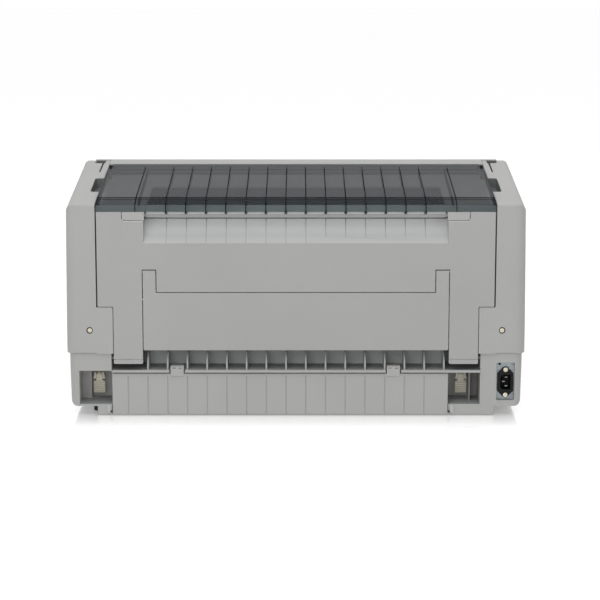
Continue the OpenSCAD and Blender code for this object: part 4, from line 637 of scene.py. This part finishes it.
PATCHES = {
    # The ramp's slope is paler, painted light, and its grooves are darker, painted shade.
    "rear_cover": [(ramp_plastic_painted_light, on_slope), (ramp_groove_painted_shade, in_ramp_groove)],
    # The finger pockets and the screw wells are darker, painted shade.
    "upper_case": [(pocket_plastic_painted_shade, in_finger_pocket), (socket_shade, in_screw_well)],
    # The shelf is darker, painted shade, and the chute wall is paler, painted light.
    "rear_paper_guide": [(floor_plastic_painted_shade, on_shelf), (chute_plastic_painted_light, on_chute_wall)],
    "inlet_plate": [(plate_zinc, anywhere)],
    "mains_inlet": [(socket_black, off_pins), (pin_metal, on_pin)],
    # The floor seen through the low openings is darker, painted shade.
    "lower_case": [(floor_plastic_painted_shade, on_low_floor)],
    # The flat of each grip, between its ridges, is darker.
    "lock_lever_left": [(grip_plastic, on_grip)],
    "lock_lever_right": [(grip_plastic, on_grip)],
}
print("other finishes on", ", ".join(PATCHES))

# %% [markdown]
# Large mouldings have rounder edges than small ones. A Bevel modifier could round each part as it
# is drawn, but its result couldn't be tested or cut afterwards. The list gives the round in
# millimetres and the parts that get it; hidden parts inside keep their plain solids.

# %% Softened copies of the solid parts
SOFTENED = {
    0.7: ("rear_cover", "rear_flap", "front_cover", "front_lower_cover"),
    0.5: ("upper_case", "lower_case", "lower_rear_cover", "exit_paper_guide", "rear_paper_guide",
          "front_paper_guide", "front_window"),
    0.3: ("panel_bezel", "lock_lever_left", "lock_lever_right", "lever_brackets", "inlet_plate",
          "mains_inlet", "power_switch", "switch_housing", "interface_sockets", "case_screws",
          "button_pause", "button_load", "button_feed", "button_tear", "ribbon_cartridge"),
}


def soften(name, width):
    """Puts a rounded copy in the place of a solid part."""
    start = welded(name)
    if name == "upper_case":
        ease_brow(start)
    work = rounded(start, width)
    if name == "rear_cover":
        for x in rib_places:
            score(work, x)
    made = stand_in(name, work, window_acrylic if name == "front_window" else FINISHES[slot_of[name]])
    for i, (finish, inside) in enumerate(PATCHES.get(name, []), start=1):
        made.data.materials.append(finish)
        for face in made.data.polygons:
            if inside(face.center / mm, face.normal):
                face.material_index = i
    print(name, len(start.faces), "faces, rounded to", len(made.data.polygons))
    start.free()


for width, names in SOFTENED.items():
    for name in names:
        soften(name, width * mm)

# %% [markdown]
# The exit cover is one moulding, and looks lightest where the eye crosses a single flat wall.
# Its ribs, its side walls and the line where it bends down at the rear are seen edge on, through
# many millimetres of smoke, so they look nearly black, and the lip behind the bend looks blue-grey.
# A surface shader cannot count millimetres. A volume can, but is slow to render and is lost in an
# export. So the faces that stand on edge get a denser finish, picked out by where they are and the
# way they face, and the lip a paler, blue-grey one, which is painted light.

# %% Exit cover in three densities of smoke
COVER_ROUND = 0.5 * mm
start = welded("exit_cover")
work = rounded(start, COVER_ROUND)
work.normal_update()
under_cover = BVHTree.FromBMesh(start)
start.free()
cover_low, cover_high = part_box("exit_cover")
BEND = cover_high[1] - 25 * mm
BEND_HALF = 1.5 * mm
LIP_FACE = cover_high[1] - 1 * mm
RIB_HALF = 0.65 * mm
RIB_START = cover_low[1] + 22 * mm
END_RIB_IN = 65 * mm
EDGE_ON = 0.6
LIP_FACING = 0.8
CLEAR, DENSE, LIP = range(3)
cover_ribs = rib_places + [side * (cover_high[0] - END_RIB_IN) for side in (-1, 1)]


def cut_across(work, point, normal):
    """Cuts the faces of a mesh along a plane, and keeps both sides."""
    bmesh.ops.bisect_plane(work, geom=work.verts[:] + work.edges[:] + work.faces[:], dist=TOUCH,
                           plane_co=point, plane_no=normal)


def density(face):
    """Which of the three finishes a face of the cover has."""
    middle = face.calc_center_median()
    on_rib = middle.y > RIB_START and any(abs(middle.x - x) < RIB_HALF for x in cover_ribs)
    if on_rib or abs(face.normal.x) > EDGE_ON or abs(middle.y - BEND) < BEND_HALF:
        return DENSE
    return LIP if face.normal.y > LIP_FACING and middle.y > LIP_FACE else CLEAR


for x in cover_ribs:
    cut_across(work, (x - RIB_HALF, 0, 0), ALONG_X)
    cut_across(work, (x + RIB_HALF, 0, 0), ALONG_X)
for y in (BEND - BEND_HALF, BEND + BEND_HALF, RIB_START):
    cut_across(work, (0, y, 0), ALONG_Y)
for face in work.faces:
    face.material_index = density(face)
dense = sum(face.material_index == DENSE for face in work.faces)
exit_moulding = stand_in("exit_cover", work, smoked_acrylic, dense_acrylic, lip_acrylic_painted_light)
print("exit cover:", dense, "of", len(exit_moulding.data.polygons), "faces in the denser smoke")

# %% [markdown]
# A few plain bars and blocks are left: a lip and an apron on the deck, cross ribs under the smoked
# cover, and the clips that hold the lower rear cover. Each has one section along the printer. A
# stretched cube would do for some of them, but here the section is drawn as one face and pulled
# out along X, which works for all of them. All but the ribs then get their sharp edges rounded.

# %% Bars and blocks
def softly(work, width=0.4 * mm):
    """Rounds the sharp edges of a plain bar or block."""
    bevel(work, [e for e in work.edges if e.calc_face_angle(0) > SHARP], width)
    return work


def pulled(section, x0, x1):
    """A bar between two places along X, from its section as points (y, z) in millimetres."""
    work = bmesh.new()
    face = work.faces.new([work.verts.new((x0, y * mm, z * mm)) for y, z in section])
    grown = bmesh.ops.extrude_face_region(work, geom=[face])["geom"]
    far_end = [v for v in grown if isinstance(v, bmesh.types.BMVert)]
    bmesh.ops.translate(work, verts=far_end, vec=(x1 - x0, 0, 0))
    bmesh.ops.recalc_face_normals(work, faces=work.faces)
    return work


def oblong(y0, y1, z0, z1):
    """The section of a plain bar, from its edges in millimetres."""
    return [(y0, z0), (y1, z0), (y1, z1), (y0, z1)]


def gathered(parts):
    """Several bmeshes joined in one."""
    whole = bmesh.new()
    for part in parts:
        mesh = bpy.data.meshes.new("part")
        part.to_mesh(mesh)
        part.free()
        whole.from_mesh(mesh)
        bpy.data.meshes.remove(mesh)
    return whole


print("bars and blocks ready")

# %% [markdown]
# Two plain mouldings lie on the deck under the smoked cover. At the rear a lip bends the paper out
# over the ramp; it is cut through under every rib of the cover, so that the ribs can reach down
# past it, and a low skirt under it closes the gap above the ramp. At the front an apron carries
# the deck on, under the seam between the two top covers. The lip is made finger by finger, because
# that is less work than cutting the notches out of one long bar.

# %% Paper lip and apron on the deck
# Sections as points (y, z) in millimetres
LIP_SECTION = [(178, 314.1), (178, 317.4), (151, 325), (151, 322), (161, 316)]
SKIRT_SECTION = oblong(161, 163.5, 306.6, 315.8)
APRON_SECTION = [(-45.3, 335), (-45.3, 337.8), (-80, 341.6), (-80, 340.4), (-82, 340.6), (-82, 342.6),
                 (-106, 345.2), (-106, 342.2)]
LIP_END = 230 * mm
APRON_END = 302 * mm
NOTCH = 2 * mm
notches = sorted(rib_places)
starts = [-LIP_END] + [x + NOTCH for x in notches]
ends = [x - NOTCH for x in notches] + [LIP_END]
fingers = [softly(pulled(LIP_SECTION, a, b)) for a, b in zip(starts, ends)]
skirt = softly(pulled(SKIRT_SECTION, -LIP_END, LIP_END), 0.3 * mm)
# The lip has the paler plastic, which is painted light.
lip = place_piece("paper_lip", gathered(fingers + [skirt]), "case", chute_plastic_painted_light)
apron = place_piece("deck_apron", softly(pulled(APRON_SECTION, -APRON_END, APRON_END)), "case", case_plastic)
print("paper lip in", len(fingers), "pieces; apron", len(apron.data.polygons), "faces")

# %% [markdown]
# Two low cross ribs stiffen the smoked cover near its hinge; the long ribs start from the first.
# The cover slopes a little, so their height is not typed in but found with a ray from below.

# %% Cross ribs of the exit cover
# Places and sizes without `mm` are in plain millimetres
CROSS_RIB_PLACES = (-37, -7)
CROSS_RIB_HALF = 0.6
CROSS_RIB_DEPTH = 0.9
CROSS_RIB_SUNK = 0.2
CROSS_RIB_END = 296 * mm
BELOW_COVER = 300 * mm
cross_ribs = []
for y in CROSS_RIB_PLACES:
    z = under_cover.ray_cast(Vector((0, y * mm, BELOW_COVER)), Vector((0, 0, 1)))[0].z / mm
    section = oblong(y - CROSS_RIB_HALF, y + CROSS_RIB_HALF, z - CROSS_RIB_DEPTH, z + CROSS_RIB_SUNK)
    cross_ribs.append(pulled(section, -CROSS_RIB_END, CROSS_RIB_END))
    print("cross rib at y", y, "under", round(z, 1))
bars = place_piece("cover_cross_ribs", gathered(cross_ribs), "exit_cover", dense_acrylic)

# %% [markdown]
# The lower rear cover hangs between two small clips on the case, each with the dark end of a hinge
# pin beside it. They are a few millimetres across, so plain blocks and short rods say enough.

# %% Hinge clips and pin ends beside the lower rear cover
# Places and sizes without `mm` are in plain millimetres
CLIP_SECTION = oblong(184, 190, 4, 16)
CLIP_ENDS = ((287.6, 293.6), (-245, -239.4))
PIN_END_PLACES = (287, -237.6)
PIN_END_Y, PIN_END_Z = 188.2, 6
PIN_RADIUS = 1.5 * mm
PIN_LENGTH = 5 * mm
blocks = [softly(pulled(CLIP_SECTION, a * mm, b * mm), 0.5 * mm) for a, b in CLIP_ENDS]
# The clips have the ramp's paler plastic, which is painted light.
clips = place_piece("hinge_clips", gathered(blocks), "case", ramp_plastic_painted_light)
pins = bmesh.new()
rearward = Matrix.Rotation(math.pi / 2, 4, "X")
for x in PIN_END_PLACES:
    place = Matrix.Translation(Vector((x, PIN_END_Y, PIN_END_Z)) * mm)
    bmesh.ops.create_cone(pins, cap_ends=True, segments=24, radius1=PIN_RADIUS, radius2=PIN_RADIUS,
                          depth=PIN_LENGTH, matrix=place @ rearward)
place_piece("hinge_pin_ends", pins, "case", black_plastic)
print(len(blocks), "clips and", len(PIN_END_PLACES), "pin ends")

# %% [markdown]
# In a studio the printer would stand on a sheet of white acrylic. The floor here is one level
# sheet that is white for the camera and in mirrors, keeps the printer's shadow, and mirrors its
# lowest edge softly; the mirror fades out towards the camera. One shader can't do all of this, so
# a diffuse one, a glowing one and a glossy one are mixed.

# %% Floor
FLOOR_HALF = 12
FLOOR_Z = -0.2 * mm
FLOOR_GREY = 0.8
FLOOR_GLOW = 0.55
MIRROR_BLUR = 0.08
MIRROR_SHARE = 0.55
MIRROR_NEAR = 190 * mm
MIRROR_FAR = 310 * mm
WHITE = (1, 1, 1, 1)


def flat_sheet(name, half, z):
    """A square, level sheet around the middle."""
    mesh = bpy.data.meshes.new(name)
    sheet = bmesh.new()
    bmesh.ops.create_grid(sheet, x_segments=1, y_segments=1, size=half, matrix=Matrix.Translation((0, 0, z)))
    sheet.to_mesh(mesh)
    sheet.free()
    made = bpy.data.objects.new(name, mesh)
    bpy.context.scene.collection.objects.link(made)
    return made


def shader_node(tree, kind, *sources, **inputs):
    """A new node, with values by name and links into its first sockets in order."""
    node = tree.nodes.new(kind)
    for name, value in inputs.items():
        node.inputs[name.replace("_", " ")].default_value = value
    for source, socket in zip(sources, node.inputs):
        tree.links.new(source, socket)
    return node


def seen(tree):
    """A socket that is 1 where the camera, a mirror or glass looks, and 0 for light alone."""
    rays = shader_node(tree, "ShaderNodeLightPath").outputs
    found = rays["Is Camera Ray"]
    for kind in ("Is Glossy Ray", "Is Transmission Ray"):
        either = shader_node(tree, "ShaderNodeMath", found, rays[kind])
        either.operation = "MAXIMUM"
        found = either.outputs[0]
    return found


floor = flat_sheet("floor", FLOOR_HALF, FLOOR_Z)
ground = bpy.data.materials.new("pale_floor")
ground.use_nodes = True
tree = ground.node_tree
tree.nodes.clear()
grey = (FLOOR_GREY, FLOOR_GREY, FLOOR_GREY, 1)
diffuse = shader_node(tree, "ShaderNodeBsdfDiffuse", Color=grey).outputs[0]
glow = shader_node(tree, "ShaderNodeEmission", Color=WHITE, Strength=FLOOR_GLOW).outputs[0]
lit = shader_node(tree, "ShaderNodeAddShader", diffuse, glow).outputs[0]
pale = shader_node(tree, "ShaderNodeMixShader", seen(tree), diffuse, lit).outputs[0]
mirror = shader_node(tree, "ShaderNodeBsdfGlossy", Color=WHITE, Roughness=MIRROR_BLUR).outputs[0]
spot = shader_node(tree, "ShaderNodeTexCoord").outputs["Object"]
depth = shader_node(tree, "ShaderNodeSeparateXYZ", spot).outputs["Y"]
share = shader_node(tree, "ShaderNodeMapRange", depth, From_Min=MIRROR_NEAR, From_Max=MIRROR_FAR,
                    To_Min=MIRROR_SHARE, To_Max=0.0).outputs["Result"]
surface = shader_node(tree, "ShaderNodeMixShader", share, pale, mirror).outputs[0]
shader_node(tree, "ShaderNodeOutputMaterial", surface)
floor.data.materials.append(ground)
print("floor laid")

# %% [markdown]
# A wide soft lamp hangs above the printer, one stands behind the camera and a weaker one in front
# of the printer. A sun would draw hard shadows; a large area lamp leaves soft ones. Mirrors don't
# show the lamps, because the smoked cover would show each as a bright patch.

# %% Lamps
def lamp(name, place, aim, size, watts):
    """A square soft lamp, aimed at a point, that mirrors don't show."""
    data = bpy.data.lights.new(name, "AREA")
    data.shape = "SQUARE"
    data.size = size
    data.energy = watts
    made = bpy.data.objects.new(name, data)
    made.location = place
    made.rotation_euler = (Vector(aim) - Vector(place)).to_track_quat("-Z", "Y").to_euler()
    made.visible_glossy = False
    bpy.context.scene.collection.objects.link(made)
    return made


lamps = [
    lamp("overhead", place=(0.2, 1.2, 2.6), aim=(0, 0, 0.2), size=2.2, watts=30),
    lamp("behind_camera", place=(0.6, 3.4, 1.1), aim=(0, 0, 0.25), size=1.6, watts=17),
    lamp("front_fill", place=(-0.8, -2.6, 1.6), aim=(0, 0, 0.2), size=1.6, watts=14),
]
print(len(lamps), "lamps")

# %% [markdown]
# The surround lights the printer evenly from all sides, and looks white to the camera, in mirrors
# and through glass. At full white it would wash out every shadow, so one background gives the
# light, another is shown, and the kind of ray picks between them.

# %% Surround
SURROUND_LIGHT = 0.52
world = bpy.data.worlds.new("surround")
bpy.context.scene.world = world
world.use_nodes = True
tree = world.node_tree
background = tree.nodes["Background"]
background.inputs["Color"].default_value = WHITE
background.inputs["Strength"].default_value = SURROUND_LIGHT
white = shader_node(tree, "ShaderNodeBackground", Color=WHITE).outputs[0]
choose = shader_node(tree, "ShaderNodeMixShader", seen(tree), background.outputs[0], white)
tree.links.new(choose.outputs[0], tree.nodes["World Output"].inputs["Surface"])
bpy.context.scene.view_settings.view_transform = "Standard"
print("studio lit")
